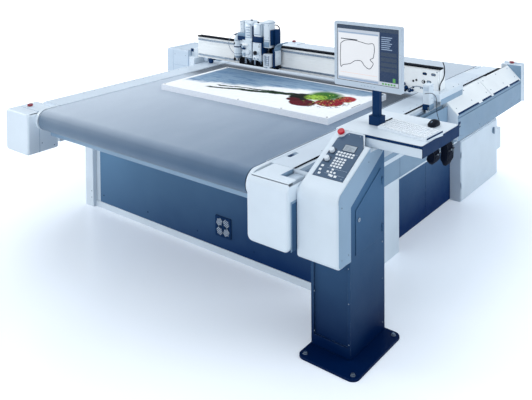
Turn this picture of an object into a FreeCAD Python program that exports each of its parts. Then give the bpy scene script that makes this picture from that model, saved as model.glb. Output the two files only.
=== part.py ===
"""Flatbed digital cutter with a conveyor belt, a moving gantry and an operator console.

Units are millimetres.  Every function works from the front datum: X is measured from the belt's
centre line (+X to the operator's right), Y from the front face of the side beams towards the rear,
and Z from the floor.  save() moves each node so that the origin is the floor point under the middle
of the table, where the centre foot stands.
"""
import FreeCAD, Part
import math
import os

os.makedirs("parts", exist_ok=True)
V = FreeCAD.Vector

# ---------------------------------------------------------------- driving sizes
TABLE_MIDDLE_Y = 1450.0

BELT_HALF = 940.0          # half the width of the belt
BELT_TOP = 900.0           # working height
BELT_THICK = 4.0
ROLLER_OUT = 73.0          # radius to the outside of the belt
ROLLER_R = 68.9
FRONT_ROLLER_Y = -107.0
REAR_ROLLER_Y = 3000.0
ROLLER_Z = BELT_TOP - ROLLER_OUT
SHAFT_R = 20.0
RUN_GAP = 0.05             # radial clearance of a running fit

BEAM_IN = 950.0            # inner face of a side beam
BEAM_OUT = 1150.0          # outer face of a side beam
SIDE_Y1 = 2920.0           # rear end of the side beams
SIDE_Z0 = 640.0
SIDE_TOP = 895.0
COVER_TOP = 904.0

GANTRY_Y = 1688.0          # front face of the gantry beam at rest
GANTRY_Y1 = 1770.0
BEAM_END = 1186.0          # operator's end of the beam
GANTRY_Z0 = 946.0
GANTRY_Z1 = 1146.0
LEG_IN = 1172.0            # gantry legs run in the slots outside the side beams
LEG_OUT = 1198.0

HEAD_X0 = -668.0           # tool carriage at rest
HEAD_X1 = -240.0
OVAL_SOCKETS = ((1080.0, 1095.0), (1148.0, 1096.0), (1113.0, 1039.0))   # in the connector plate
ROUND_SOCKETS = ((990.0, 1031.0), (1015.0, 1041.0), (990.0, 985.0), (1078.0, 1036.0))
MODULE_X = (-585.0, -483.0, -372.0)   # guide of each tool module
TOOL_X = (-625.0, -483.0, -372.0)     # axis of each turning tool
TOOL_Y = 1586.0
TIP_Z = 992.0

CON_X0 = 1251.0            # console and its column
CON_X1 = 1500.0
CON_MID = (CON_X0 + CON_X1) / 2
STOP_X, STOP_S = 1297.0, 318.0   # stop button: across, and up the slope from the panel's foot
SLOPE_Y0, SLOPE_Z0 = -145.0, 868.0
SLOPE_Y1, SLOPE_Z1 = 240.0, 1080.0
SLOPE_ANGLE = math.degrees(math.atan2(SLOPE_Z1 - SLOPE_Z0, SLOPE_Y1 - SLOPE_Y0))

SHELF_X0, SHELF_X1 = 1238.0, 1758.0
TRAY_X0 = 1414.0             # left end of the navy tray under the shelf
SHELF_Y0, SHELF_Y1 = 242.0, 706.0
SHELF_TOP = 1082.0
POLE_X, POLE_Y = 1388.0, 438.0
KEYBOARD_X, KEYBOARD_Y, KEYBOARD_TURN = 1597.0, 421.0, -10.0

MON_W, MON_H = 420.0, 356.0
MON_Y = 330.0
MON_Z = 1301.0
PIVOT_Z = MON_Z + 185.0

BOARD = (-705.0, 760.0, 847.0, 1530.0, 942.0)


# ---------------------------------------------------------------- helpers
def box(x0, y0, z0, x1, y1, z1):
    """A block between two corners."""
    return Part.makeBox(x1 - x0, y1 - y0, z1 - z0, V(x0, y0, z0))


def cyl(radius, height, base, axis=(0, 0, 1)):
    """A cylinder that starts at base and runs along axis."""
    return Part.makeCylinder(radius, height, V(*base), V(*axis))


def cone(r0, r1, height, base, axis=(0, 0, 1)):
    """A cone frustum that starts at base and runs along axis."""
    return Part.makeCone(r0, r1, height, V(*base), V(*axis))


def along_x(points, x0, x1):
    """A prism whose outline is a list of (y, z) points, between x0 and x1."""
    corners = [V(x0, y, z) for y, z in points]
    face = Part.Face(Part.makePolygon(corners + corners[:1]))
    return face.extrude(V(x1 - x0, 0, 0))


def along_y(points, y0, y1):
    """A prism whose outline is a list of (x, z) points, between y0 and y1."""
    corners = [V(x, y0, z) for x, z in points]
    face = Part.Face(Part.makePolygon(corners + corners[:1]))
    return face.extrude(V(0, y1 - y0, 0))


def rounded(shape, radius, pick):
    """Fillet every straight edge whose middle point and direction pick accepts."""
    chosen = []
    for edge in shape.Edges:
        start, end = edge.Vertexes[0].Point, edge.Vertexes[-1].Point
        if (end - start).Length < 1e-6:
            continue
        if pick((start + end) * 0.5, (end - start).normalize()):
            chosen.append(edge)
    return shape.makeFillet(radius, chosen)


def is_x(d):
    return abs(d.x) > 0.99


def is_y(d):
    return abs(d.y) > 0.99


def is_z(d):
    return abs(d.z) > 0.99


def save(name, *solids):
    """Write one node, with its solids kept apart, measured from the table's origin."""
    moved = []
    for shape in solids:
        copy = shape.copy()
        copy.translate(V(0, -TABLE_MIDDLE_Y, 0))
        moved += copy.Solids
    whole = moved[0] if len(moved) == 1 else Part.makeCompound(moved)
    whole.exportStep("parts/" + name + ".step")


def mirror_x(shape):
    """The same shape on the other side of the belt."""
    return shape.mirror(V(0, 0, 0), V(1, 0, 0))


# ---------------------------------------------------------------- table
def stadium(radius, half):
    """A long loop outline around both rollers, as a solid."""
    front = cyl(radius, 2 * half, (-half, FRONT_ROLLER_Y, ROLLER_Z), (1, 0, 0))
    rear = cyl(radius, 2 * half, (-half, REAR_ROLLER_Y, ROLLER_Z), (1, 0, 0))
    middle = box(-half, FRONT_ROLLER_Y, ROLLER_Z - radius, half, REAR_ROLLER_Y, ROLLER_Z + radius)
    return front.fuse([rear, middle]).removeSplitter()


def belt():
    loop = stadium(ROLLER_OUT, BELT_HALF).cut(stadium(ROLLER_OUT - BELT_THICK, BELT_HALF + 1))
    save("conveyor_belt", loop)


def roller(name, y):
    drum = cyl(ROLLER_R, 2 * BELT_HALF - 4, (-BELT_HALF + 2, y, ROLLER_Z), (1, 0, 0))
    shaft = cyl(SHAFT_R, 2 * 974.0, (-974.0, y, ROLLER_Z), (1, 0, 0))
    save(name, drum.fuse(shaft))


def roller_cheek(y, y_flat):
    """One bearing plate: round about the roller, square where it meets the side beam."""
    low, high = min(y, y_flat), max(y, y_flat)
    disc = cyl(76.0, 25.0, (BEAM_IN, y, ROLLER_Z), (1, 0, 0))
    block = box(BEAM_IN, low, ROLLER_Z - 76.0, BEAM_IN + 25.0, high, ROLLER_Z + 76.0)
    hole = cyl(SHAFT_R + RUN_GAP, 27.0, (BEAM_IN - 1, y, ROLLER_Z), (1, 0, 0))
    return disc.fuse(block).cut(hole)


def cheeks_and_guides():
    """Roller bearing plates, and the strips that keep the belt between the side beams."""
    front = roller_cheek(FRONT_ROLLER_Y, 0.0)
    rear = roller_cheek(REAR_ROLLER_Y, SIDE_Y1)
    guide = box(BELT_HALF + 3, 2, BELT_TOP - 4, BEAM_IN - 5, 2690, BELT_TOP + 6)
    save("cheeks_and_guides", front, mirror_x(front), rear, mirror_x(rear), guide, mirror_x(guide))


def side_beams():
    right = box(BEAM_IN, 0, SIDE_Z0, BEAM_OUT, SIDE_Y1, SIDE_TOP)
    inside = box(BEAM_IN + 12, 12, SIDE_Z0 + 12, BEAM_OUT - 12, SIDE_Y1 - 12, SIDE_TOP - 12)
    right = right.cut(inside)
    save("side_beams", right, mirror_x(right))


def vacuum_bed():
    slab = box(-BEAM_IN, -25, 780, BEAM_IN, 2920, BELT_TOP - BELT_THICK)
    for i in range(5):
        y = 60 + i * 570
        slab = slab.cut(box(-900, y, 792, 900, y + 545, 884))
    save("vacuum_bed", slab)


def cross_members():
    """The strip under the front roller and the three beams that join the sides."""
    strip = box(-975, -60, 690, 975, 0, 745)
    parts = [rounded(strip, 12, lambda m, d: is_x(d) and m.y < -50)]
    for y in (520, 1410, 2700):
        parts.append(box(-BEAM_IN, y, SIDE_Z0, BEAM_IN, y + 80, 740))
    save("cross_members", *parts)


def leg(x0, x1, y0, y1, top):
    post = box(x0, y0, 0, x1, y1, top)
    return rounded(post, 6, lambda m, d: is_z(d))


def centre_foot():
    """The foot under the middle of the table: its bottom centre is the origin."""
    post = cyl(45, SIDE_Z0 - 12, (0, TABLE_MIDDLE_Y, 12))
    return post.fuse(cyl(90, 12, (0, TABLE_MIDDLE_Y, 0)))


def legs():
    plinth = box(-1088, 414, 0, 1035, 430, 45)
    plinth = rounded(plinth, 4, lambda m, d: is_x(d) and m.y < 415 and m.z > 40)
    ledge = box(1050, 1172, 487, 1140, 2176, 500)
    ledge = rounded(ledge, 4, lambda m, d: is_y(d) and m.x > 1130)
    save(
        "legs",
        leg(-1185, -1090, 390, 520, SIDE_Z0),
        leg(1045, 1140, 900, 1171, 500),
        box(1050, 1010, 500, 1135, 1100, SIDE_Z0),
        leg(-1185, -1090, 2700, 2830, SIDE_Z0),
        leg(1000, 1095, 2962, 3040, SIDE_Z0),
        centre_foot(),
        plinth,
        ledge,
        box(-1088, 424, 45, -1040, 450, SIDE_Z0),
    )


def navy_panels():
    """Front panel with the fan opening, the side panels and the filler by the console."""
    front = box(-1040, 420, 45, 1030, 424, SIDE_Z0)
    front = front.cut(box(185, 415, 135, 301, 430, 251))
    front = front.fuse(box(-1040, 424, SIDE_Z0 - 40, 1030, 430, SIDE_Z0))
    right = box(1050, 1172, 8, 1056, 2176, 486)
    right = right.cut(box(1054, 1740, 0, 1060, 1743, 500))
    left = box(-1146, 522, 8, -1140, 2698, SIDE_Z0)
    filler = box(1204, 1, 520, 1249, 60, 860)
    save("navy_panels", front, right, left, filler)


def fan():
    """Cooling fan behind the front panel: frame, guard and a rotor that spins about Y."""
    cx, cz = 243.0, 193.0
    frame = box(cx - 66, 424.5, cz - 66, cx + 66, 449.5, cz + 66)
    frame = frame.cut(cyl(55, 30, (cx, 424, cz), (0, 1, 0)))
    spider = box(cx - 58, 445, cz - 4, cx + 58, 449, cz + 4)
    spider = spider.fuse(box(cx - 4, 445, cz - 58, cx + 4, 449, cz + 58))
    spider = spider.fuse(cyl(18, 4, (cx, 445, cz), (0, 1, 0)))
    post = cyl(4, 16, (cx, 430, cz), (0, 1, 0))
    frame = frame.fuse(spider).fuse(post)
    guard = box(cx - 68, 411, cz - 68, cx + 68, 419.9, cz + 68)
    guard = rounded(guard, 6, lambda m, d: is_y(d))
    slots = []
    for turn in (0, 90, 180, 270):
        for k in range(5):
            offset = 12 + 9 * k
            slot = box(cx + offset, 405, cz - 4 * k - 4, cx + offset + 4.5, 425, cz + 4 * k + 12)
            slot.rotate(V(cx, 0, cz), V(0, 1, 0), turn)
            slots.append(slot)
    save("fan_frame", frame, guard.cut(slots))

    hub = cyl(16, 14, (cx, 429, cz), (0, 1, 0))
    blades = []
    for i in range(7):
        blade = box(cx - 9, 431, cz + 14, cx + 9, 433.5, cz + 52)
        blade.rotate(V(cx, 432, cz), V(0, 0, 1), 28)
        blade.rotate(V(cx, 0, cz), V(0, 1, 0), i * 360 / 7)
        blades.append(blade)
    rotor = hub.fuse(blades).cut(cyl(4 + RUN_GAP, 40, (cx, 428, cz), (0, 1, 0)))
    save("fan_rotor", rotor)


def end_box(x0, x1, y0, z0, z1, radius, top_radius=14):
    """A moulded cover over a roller end: soft vertical corners and a soft face."""
    body = box(x0, y0, z0, x1, 0, z1)
    body = rounded(body, radius, lambda m, d: is_y(d))
    face = [e for e in body.Edges if abs(e.BoundBox.YMax - y0) < 0.01]
    body = body.makeFillet(14, face)
    if top_radius > 14:
        hood = rounded(box(x0 - 1, y0, z0 - 1, x1 + 1, 400, z1), top_radius, lambda m, d: m.y < y0 + 1 and m.z > z1 - 1)
        body = body.common(hood)
    hollow = box(x0 + 6, y0 + 20, z0 + 6, x1 - 6, -1, z1 - 6)
    return body.cut(hollow.cut(box(x0, -8, z0, x1, 0, z1)))


def end_boxes():
    left = end_box(-1255, -976, -240, 592, 886, 26)
    right = end_box(976, 1249, -210, 552, COVER_TOP, 34, 46)
    right = right.cut(box(1130, -118, 860, 1243, -0.5, 920))
    right = right.fuse(box(1142, -112, 800, 1206, -7, 884))
    rear = box(976, SIDE_Y1, SIDE_Z0, BEAM_OUT, 3085, SIDE_TOP)
    rear = rounded(rear, 14, lambda m, d: is_x(d) and m.y > 3000)
    cap = box(1160, 3086, 632, 1330, 3100, 960)
    cap = rounded(cap, 6, lambda m, d: m.y > 3099)
    bridge = box(1152, 3031, 640, 1325, 3086, 945)
    save("end_boxes", left, right, rear, mirror_x(rear), cap, bridge)


def rails():
    rail = box(BEAM_OUT, 20, 850, BEAM_OUT + 14, SIDE_Y1 - 20, 872)
    for z in (853.5, 865.5):
        rail = rail.cut(box(BEAM_OUT + 3, 0, z, BEAM_OUT + 7, SIDE_Y1, z + 3))
    holes = [cyl(4.5, 8, (BEAM_OUT + 8, 60 + 120 * i, 861), (1, 0, 0)) for i in range(24)]
    rail = rail.cut(holes)
    save("gantry_rails", rail, mirror_x(rail))


def rail_cover(right):
    """White cover strip over one side beam, with the sensor slots on its top."""
    strip = box(BEAM_IN - 4, 2, SIDE_TOP, 1125, 2690, COVER_TOP)
    strip = strip.cut(box(BEAM_IN - 5, 0, SIDE_TOP - 1, BELT_HALF + 15, 2700, COVER_TOP - 3))
    if not right:
        return mirror_x(strip)
    cuts = [box(968, 40 + 22 * i, COVER_TOP - 2, 972, 54 + 22 * i, COVER_TOP + 1) for i in range(40)]
    cuts.append(box(985, 128, COVER_TOP - 6, 1014, 214, COVER_TOP + 1))
    return strip.cut(cuts)


def rail_covers():
    save("rail_covers", rail_cover(True), rail_cover(False))


def side_duct():
    """Cable duct outside the right-hand slot: a narrow open trough, then a wide closed box."""
    narrow = box(1203, 62, 760, 1249, 1698, 880)
    narrow = narrow.cut(box(1209, 50, 790, 1243, 1700, 881))
    narrow = narrow.fuse(box(BEAM_OUT, 62, 740, 1249, 1698, 760))
    outline = [(1203, 640), (1325, 640), (1325, 818), (1210, 930), (1203, 930)]
    wide = along_y(outline, 1700, 3030)
    inner = [(1211, 650), (1317, 650), (1317, 814), (1214, 916), (1211, 916)]
    wide = wide.cut(along_y(inner, 1708, 3022))
    wide = wide.cut(along_y([(1319, 800), (1330, 800), (1330, 808), (1319, 808)], 1690, 3040))
    wide = wide.fuse(box(BEAM_OUT, 1700, 640, 1203, 3030, 652))
    save("side_duct", narrow, wide)
    lids = []
    for y0, y1 in ((1702, 2368), (2374, 3028)):
        lids.append(along_y([(1210.3, 930), (1321, 822), (1324, 825), (1212, 935), (1206, 935), (1206, 930.3)], y0, y1))
    save("side_duct_lids", *lids)


def electrics_cabinet():
    """White cabinet under the duct, with its drives inside and a hinged door."""
    body = box(760, 2178, 0, 1140, 2958, 480)
    body = body.cut(box(775, 2192, 14, 1141, 2944, 466))
    plate = box(775, 2250, 60, 780, 2880, 430)
    drives = [box(780, 2290 + 140 * i, 120, 960, 2390 + 140 * i, 400) for i in range(4)]
    outlet = rounded(box(1097, 2958, 200, 1138, 3070, 380), 12, lambda m, d: m.y > 3069)
    knuckles = [cyl(5, 22, (1148, 2182, z)) for z in (131, 371)]
    leaves = [box(1140.1, 2178.5, z, 1147, 2184, z + 22) for z in (131, 371)]
    fixed = [a.fuse(b) for a, b in zip(knuckles, leaves)]
    save("cabinet_body", *([body, plate, outlet] + drives + fixed))

    door = box(1140.2, 2186, 8, 1146, 2950, 472)
    door = rounded(door, 2, lambda m, d: m.x > 1145.9)
    door = door.cut(cyl(11 + RUN_GAP, 20, (1135, 2860, 400), (1, 0, 0)))
    for z in (108, 348):
        door = door.fuse([cyl(5, 22, (1148, 2182, z)), box(1143.5, 2182, z, 1147, 2190, z + 22)])
    save("cabinet_door", door)
    lock = cyl(11, 6, (1140.3, 2860, 400), (1, 0, 0)).fuse(cyl(21, 3, (1146.1, 2860, 400), (1, 0, 0)))
    handle = rounded(box(1149.1, 2852, 372, 1160, 2868, 428), 5, lambda m, d: is_x(d))
    save("cabinet_lock", lock.fuse(handle))


# ---------------------------------------------------------------- gantry
def gantry_beam():
    beam = box(-1205, GANTRY_Y, GANTRY_Z0, BEAM_END, GANTRY_Y1, GANTRY_Z1 - 10)
    beam = rounded(beam, 6, lambda m, d: is_x(d))
    for z in (1012, 1046, 1080):
        beam = beam.cut(box(-1210, GANTRY_Y - 1, z, 895, GANTRY_Y + 3, z + 5))
    hollow = box(-1206, GANTRY_Y + 14, GANTRY_Z0 + 18, BEAM_END + 1, GANTRY_Y1 - 14, GANTRY_Z1 - 28)
    save("gantry_beam", beam.cut(hollow))
    strip = box(-1205, GANTRY_Y - 6, GANTRY_Z1 - 10, BEAM_END + 12, GANTRY_Y + 52, GANTRY_Z1)
    save("beam_top_strip", rounded(strip, 3, lambda m, d: is_x(d) and m.z > 1140))


def beam_rails():
    lower = box(-1190, GANTRY_Y - 12, 966, 890, GANTRY_Y, 980)
    upper = box(-1190, GANTRY_Y - 12, 1106, 890, GANTRY_Y, 1120)
    save("beam_rails", lower, upper)


def beam_ends():
    """Closing plates, and the connector plate with its sockets at the operator's end."""
    left = box(-1209, GANTRY_Y + 6, GANTRY_Z0 + 8, -1205, GANTRY_Y1 - 6, 1128)
    right = box(BEAM_END, GANTRY_Y, GANTRY_Z0 + 4, BEAM_END + 10, GANTRY_Y1, 1134)
    right = rounded(right, 10, lambda m, d: is_x(d))
    plate = box(905, GANTRY_Y - 11, 952, BEAM_END, GANTRY_Y, 1130)
    plate = rounded(plate, 10, lambda m, d: is_y(d))
    for x, z in OVAL_SOCKETS:
        oval = box(x - 18, GANTRY_Y - 12, z - 10, x + 18, GANTRY_Y - 5, z + 10)
        plate = plate.cut(rounded(oval, 9.5, lambda m, d: is_y(d)))
    for x, z in ROUND_SOCKETS:
        plate = plate.cut(cyl(8, 8, (x, GANTRY_Y - 12, z), (0, 1, 0)))
    save("beam_end_plates", left, right, plate)


def gantry_leg():
    """One leg in its slot: it carries the beam, the rail blocks, the tower and the cable housing."""
    leg = along_x([(1500, 842), (1830, 842), (1830, 946), (1600, 946), (1500, 917)], LEG_IN, LEG_OUT)
    tower = rounded(box(1150, 1500, 917, 1201, 1575, 1063), 8, lambda m, d: is_z(d) or m.z > 1062)
    housing = box(1130, 1576, 938, 1245, 1984, 985)
    housing = rounded(housing, 8, lambda m, d: m.z > 984 or is_z(d))
    housing = housing.cut(box(1100, GANTRY_Y - 14, 930, 1199, GANTRY_Y1 + 2, 990))
    return leg.fuse([tower, housing, box(1241, 1590, 909, 1245, 1970, 950)])


def rail_block(y):
    block = box(BEAM_OUT + 2, y, 842, LEG_IN, y + 90, 880)
    return block.cut(box(BEAM_OUT, y - 1, 850 - RUN_GAP, BEAM_OUT + 14 + RUN_GAP, y + 91, 872 + RUN_GAP))


def gantry_legs():
    plate = gantry_leg()
    left_plate = mirror_x(along_x([(1600, 842), (1830, 842), (1830, 946), (1600, 946)], LEG_IN, LEG_OUT))
    blocks = [rail_block(1620), rail_block(1735)]
    save("rail_blocks", *(blocks + [mirror_x(b) for b in blocks]))

    drive = box(-1572, 1640, 760, -1292, 1990, 1000)
    drive = rounded(drive, 30, lambda m, d: is_y(d) and m.x < -1500)
    drive = rounded(drive, 10, lambda m, d: is_x(d) and m.z > 990 and m.y < 1700)
    foot = box(-1292, 1650, 850, LEG_OUT * -1, 1830, GANTRY_Z0)
    bracket = box(-1292, GANTRY_Y, GANTRY_Z0, -1210, GANTRY_Y1, 1010)
    save("drive_housing_left", drive)
    save("gantry_legs", plate, left_plate, foot.fuse(bracket))


def carriage():
    """The plate that carries the tool modules along the beam."""
    plate = box(HEAD_X0, 1650, 956, HEAD_X1, 1664, 1170)
    plate = rounded(plate, 8, lambda m, d: is_y(d))
    blocks = []
    for x in (HEAD_X0 + 38, HEAD_X1 - 90):
        for z in (966, 1106):
            block = box(x, 1664, z - 9, x + 70, GANTRY_Y - 1, z + 23)
            slot = box(x - 1, GANTRY_Y - 12 - RUN_GAP, z - RUN_GAP, x + 71, GANTRY_Y, z + 14 + RUN_GAP)
            blocks.append(block.cut(slot))
    guides = [box(x - 9, 1638, 970, x + 9, 1650, 1160) for x in MODULE_X]
    save("carriage_guides", *(blocks + guides))
    back = box(HEAD_X0 + 20, 1652, 1171, HEAD_X1 - 10, 1672, 1290)
    back = back.cut([cyl(9, 30, (x, 1650, 1240), (0, 1, 0)) for x in (-640, -535, -425, -330)])
    side = box(HEAD_X1, 1600, 990, HEAD_X1 + 14, 1664, 1250)
    side = rounded(side, 4, lambda m, d: is_z(d))
    save("carriage_plate", plate, back, side)
    frame = rounded(box(-318, 1548, 988, -250, 1600, 1098), 6, lambda m, d: is_y(d))
    frame = frame.cut(box(-309, 1547, 1000, -261, 1590, 1086))
    sensor = box(-306, 1566, 1004, -264, 1590.1, 1082)
    arm = box(-300, 1600, 1005, -268, 1650, 1045)
    lens = cyl(9, 10, (-285, 1578, 979))
    save("pointer_camera", frame.fuse([sensor, arm, lens]))


def slotted_block(x0, x1, guide_x, y0, z0, z1):
    """A module block that rides on its guide behind it."""
    block = box(x0, y0, z0, x1, 1649, z1)
    block = rounded(block, 7, lambda m, d: is_z(d) and m.y < 1610)
    slot = box(guide_x - 9 - RUN_GAP, 1638 - RUN_GAP, z0 - 1, guide_x + 9 + RUN_GAP, 1650, z1 + 1)
    return block.cut(slot)


def tower(x0, x1, y0, z0, z1, radius):
    return rounded(box(x0, y0, z0, x1, 1636, z1), radius, lambda m, d: is_z(d) or m.z > z1 - 1)


def module(index):
    """One tool module: block, motor tower, nose and a bore for the turning tool."""
    x = TOOL_X[index]
    guide_x = MODULE_X[index]
    axis_y = TOOL_Y
    if index == 0:
        front = 1600
        block = slotted_block(-655, -547, guide_x, front, 1062, 1190)
        block = block.fuse(cyl(34, 150, (x, axis_y, 1045)))
        block = block.fuse(cyl(24, 26, (x, axis_y, 1195)))
        block = block.fuse(tower(-593, -547, 1572, 1150, 1350, 9))
        knob_x, knob_z = -572, 1120
    elif index == 1:
        front = 1535
        block = slotted_block(-538, -434, guide_x, front, 1050, 1196)
        block = block.fuse(tower(-523, -433, 1548, 1180, 1362, 16))
        knob_x, knob_z = -516, 1140
    else:
        front = 1528
        block = slotted_block(-418, -332, guide_x, front, 1040, 1186)
        block = block.fuse(tower(-418, -341, 1546, 1170, 1350, 9))
        block = block.fuse(tower(-324, -253, 1556, 1150, 1374, 14))
        block = block.fuse(box(-345, 1590, 1175, -320, 1632, 1300))
        knob_x, knob_z = -373, 1104
    nose = cone(26, 34, 34, (x, axis_y, 1028))
    block = block.fuse(nose)
    block = block.cut(cyl(14 + RUN_GAP, 60, (x, axis_y, 1020)))
    knob = cyl((12, 10, 16)[index], 14, (knob_x, front - 14, knob_z), (0, 1, 0))
    save("module_%d_body" % (index + 1), block, knob)

    stem = cyl(14, 58, (x, axis_y, 1020)).fuse(cyl(19, 8, (x, axis_y, 1019)))
    if index == 0:
        blade = along_x([(axis_y - 7, 1020), (axis_y + 7, 1020), (axis_y + 7, 1006), (axis_y - 4, TIP_Z)],
                        x - 0.8, x + 0.8)
        tool = stem.fuse(blade)
    elif index == 1:
        wheel = cyl(13, 2.4, (x - 1.2, axis_y, 1005), (1, 0, 0))
        fork = box(x - 6, axis_y - 5, 1001, x + 6, axis_y + 5, 1021)
        fork = fork.cut(box(x - 1.6, axis_y - 6, 990, x + 1.6, axis_y + 6, 1014))
        tool = stem.fuse([fork, wheel.fuse(cyl(2, 12, (x - 6, axis_y, 1005), (1, 0, 0)))])
    else:
        tool = stem.fuse(cone(2, 7, 27, (x, axis_y, TIP_Z)))
    save("module_%d_tool" % (index + 1), tool)


# ---------------------------------------------------------------- console
def slope_z(y):
    return SLOPE_Z0 + (y - SLOPE_Y0) * (SLOPE_Z1 - SLOPE_Z0) / (SLOPE_Y1 - SLOPE_Y0)


def on_slope(shape, y):
    """Tilt a shape drawn flat at z = 0 about (y = 0) so that it lies on the console's slope."""
    moved = shape.copy()
    moved.rotate(V(0, 0, 0), V(1, 0, 0), SLOPE_ANGLE)
    moved.translate(V(0, y, slope_z(y)))
    return moved


def console_cover():
    outline = [(-145, 515), (-145, SLOPE_Z0), (SLOPE_Y1, SLOPE_Z1), (SLOPE_Y1, 1016.5), (343, 1016.5),
               (-25, 794), (-25, 515)]
    cover = along_x(outline, CON_X0, CON_X1)
    cover = rounded(cover, 70, lambda m, d: is_x(d) and abs(m.y + 145) < 1 and m.z > 800)
    cover = rounded(cover, 24, lambda m, d: is_x(d) and m.y < -140 and m.z < 520)
    cover = rounded(cover, 10, lambda m, d: is_z(d) and m.y < -140)
    cover = cover.cut(film(2.0, -4, 12))
    step = Part.makePolygon([V(x, y, 1016.5) for x, y in ((1426, 242), (1464, 173), (1510, 173), (1510, 242), (1426, 242))])
    cover = cover.cut(Part.Face(step).extrude(V(0, 0, 80)))
    save("console_cover", cover)


def film(grow, low, high):
    """The panel's outline on the slope, six-sided with two clipped corners at the top."""
    g = grow
    points = [(1286 - g, 16 - g), (1466 + g, 16 - g), (1466 + g, 252), (1420 + g, 334 + g),
              (1336 - g, 334 + g), (1290 - g, 284)]
    wire = Part.makePolygon([V(x, s, low) for x, s in points + points[:1]])
    return on_slope(Part.Face(wire).extrude(V(0, 0, high - low)), -62)


def control_panel():
    plate = film(0.0, -3.9, 1.5)
    plate = plate.cut(on_slope(cyl(27, 20, (STOP_X, STOP_S, -10)), -62))
    holes = [(1309, 190), (1310, 131)]
    for x, s in holes:
        plate = plate.cut(on_slope(cyl(5 + RUN_GAP, 20, (x, s, -10)), -62))
    save("control_panel", plate)
    lcd = on_slope(box(1362, 208, 1.6, 1432, 248, 4), -62)
    save("panel_display", lcd)

    keys = []
    rows = ((174, 1342, 6), (156, 1342, 6), (132, 1350, 4), (114, 1350, 4), (96, 1350, 4), (78, 1350, 4))
    for s, x0, count in rows:
        for i in range(count):
            keys.append(on_slope(box(x0 + 18 * i, s + 12, 1.6, x0 + 18 * i + 12, s + 23, 4.2), -62))
    for dx, ds in ((0, 0), (-20, 0), (20, 0), (0, 18), (0, -18)):
        keys.append(on_slope(box(1372 + dx, 50 + ds, 1.6, 1384 + dx, 60 + ds, 4.2), -62))
    for dx in (0, 74, 96):
        keys.append(on_slope(box(1310 + dx, 28, 1.6, 1324 + dx, 40, 4.2), -62))
    for ds in (52, 78):
        keys.append(on_slope(box(1302, ds, 1.6, 1316, ds + 12, 4.2), -62))
    save("panel_keys", *keys)
    for name, (x, s) in zip(("speed_knob", "feed_knob"), holes):
        knob = cyl(14, 16, (x, s, 2)).fuse(cyl(5, 12, (x, s, -3.5)))
        mark = box(x - 1, s + 4, 17, x + 1, s + 13, 19)
        save(name, on_slope(knob.cut(mark), -62))


def stop_button(name, base, axis):
    """A mushroom stop button in its collar; the head has 4 mm of travel."""
    b, n = V(*base), V(*axis)
    collar = Part.makeCylinder(26, 8, b, n).cut(Part.makeCylinder(8 + RUN_GAP, 20, b - n * 5, n))
    head = Part.makeCylinder(20, 12, b + n * 13, n)
    edges = [e for e in head.Edges if e.Curve.TypeId == "Part::GeomCircle"]
    top = max(edges, key=lambda e: e.CenterOfMass.dot(n))
    head = head.makeFillet(5, [top])
    stem = Part.makeCylinder(8, 12, b + n * 5, n)
    save(name, head.fuse(stem))
    return collar


def column():
    outline = [(-25, 15), (325, 15), (325, 1005), (-25, 793)]
    shell = along_x(outline, CON_X0 + 5, CON_X1 - 5)
    inner = along_x([(-5, 20), (320, 20), (320, 990), (-5, 785)], CON_X0 + 11, CON_X1 - 11)
    shell = shell.cut(inner)
    shell = shell.cut(box(1273, -26, 70, 1478, -14, 516))
    doorway = along_x([(40, 545), (270, 545), (270, 880), (40, 752)], CON_X1 - 15, CON_X1)
    shell = shell.cut(doorway)
    fixed = []
    for z in (581, 833):
        leaf = box(CON_X1 - 4.9, 292, z, CON_X1, 304, z + 18)
        fixed.append(leaf.fuse([cyl(4.5, 18, (CON_X1 + 1.5, 290, z)), box(CON_X1, 290, z, CON_X1 + 3, 304, z + 18)]))
    shell = shell.cut([cyl(3, 4, (CON_X1 - 8, 60 + 200 * i, 120), (1, 0, 0)) for i in range(2)])

    plate = box(1246, -148, 0, 1596, 335, 12)
    plate = rounded(plate, 42, lambda m, d: is_z(d))
    plate = plate.cut([cyl(7, 20, (x, y, -2)) for x in (1280, 1562) for y in (-112, 300)])
    plate = rounded(plate, 2, lambda m, d: m.z > 11.9 and (is_x(d) or is_y(d)))
    collar = box(1262, -19, 12, 1489, 319, 15)
    save("column", *([shell, collar, plate] + fixed))


def column_door():
    door = along_x([(25, 530), (284, 530), (284, 905), (25, 760)], CON_X1 - 4.8, CON_X1)
    for z in (562, 814):
        door = door.fuse([cyl(4.5, 18, (CON_X1 + 1.5, 290, z)), box(CON_X1 - 3, 282, z, CON_X1 + 1.5, 289, z + 18)])
    door = door.cut(cyl(8 + RUN_GAP, 20, (CON_X1 - 12, 52, 706), (1, 0, 0)))
    save("column_door", door)
    lock = cyl(8, 5, (CON_X1 - 3.7, 52, 706), (1, 0, 0)).fuse(cyl(11, 3, (CON_X1 + 0.2, 52, 706), (1, 0, 0)))
    save("column_lock", lock.cut(box(CON_X1 + 1.5, 50.5, 700, CON_X1 + 5, 53.5, 712)))


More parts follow.
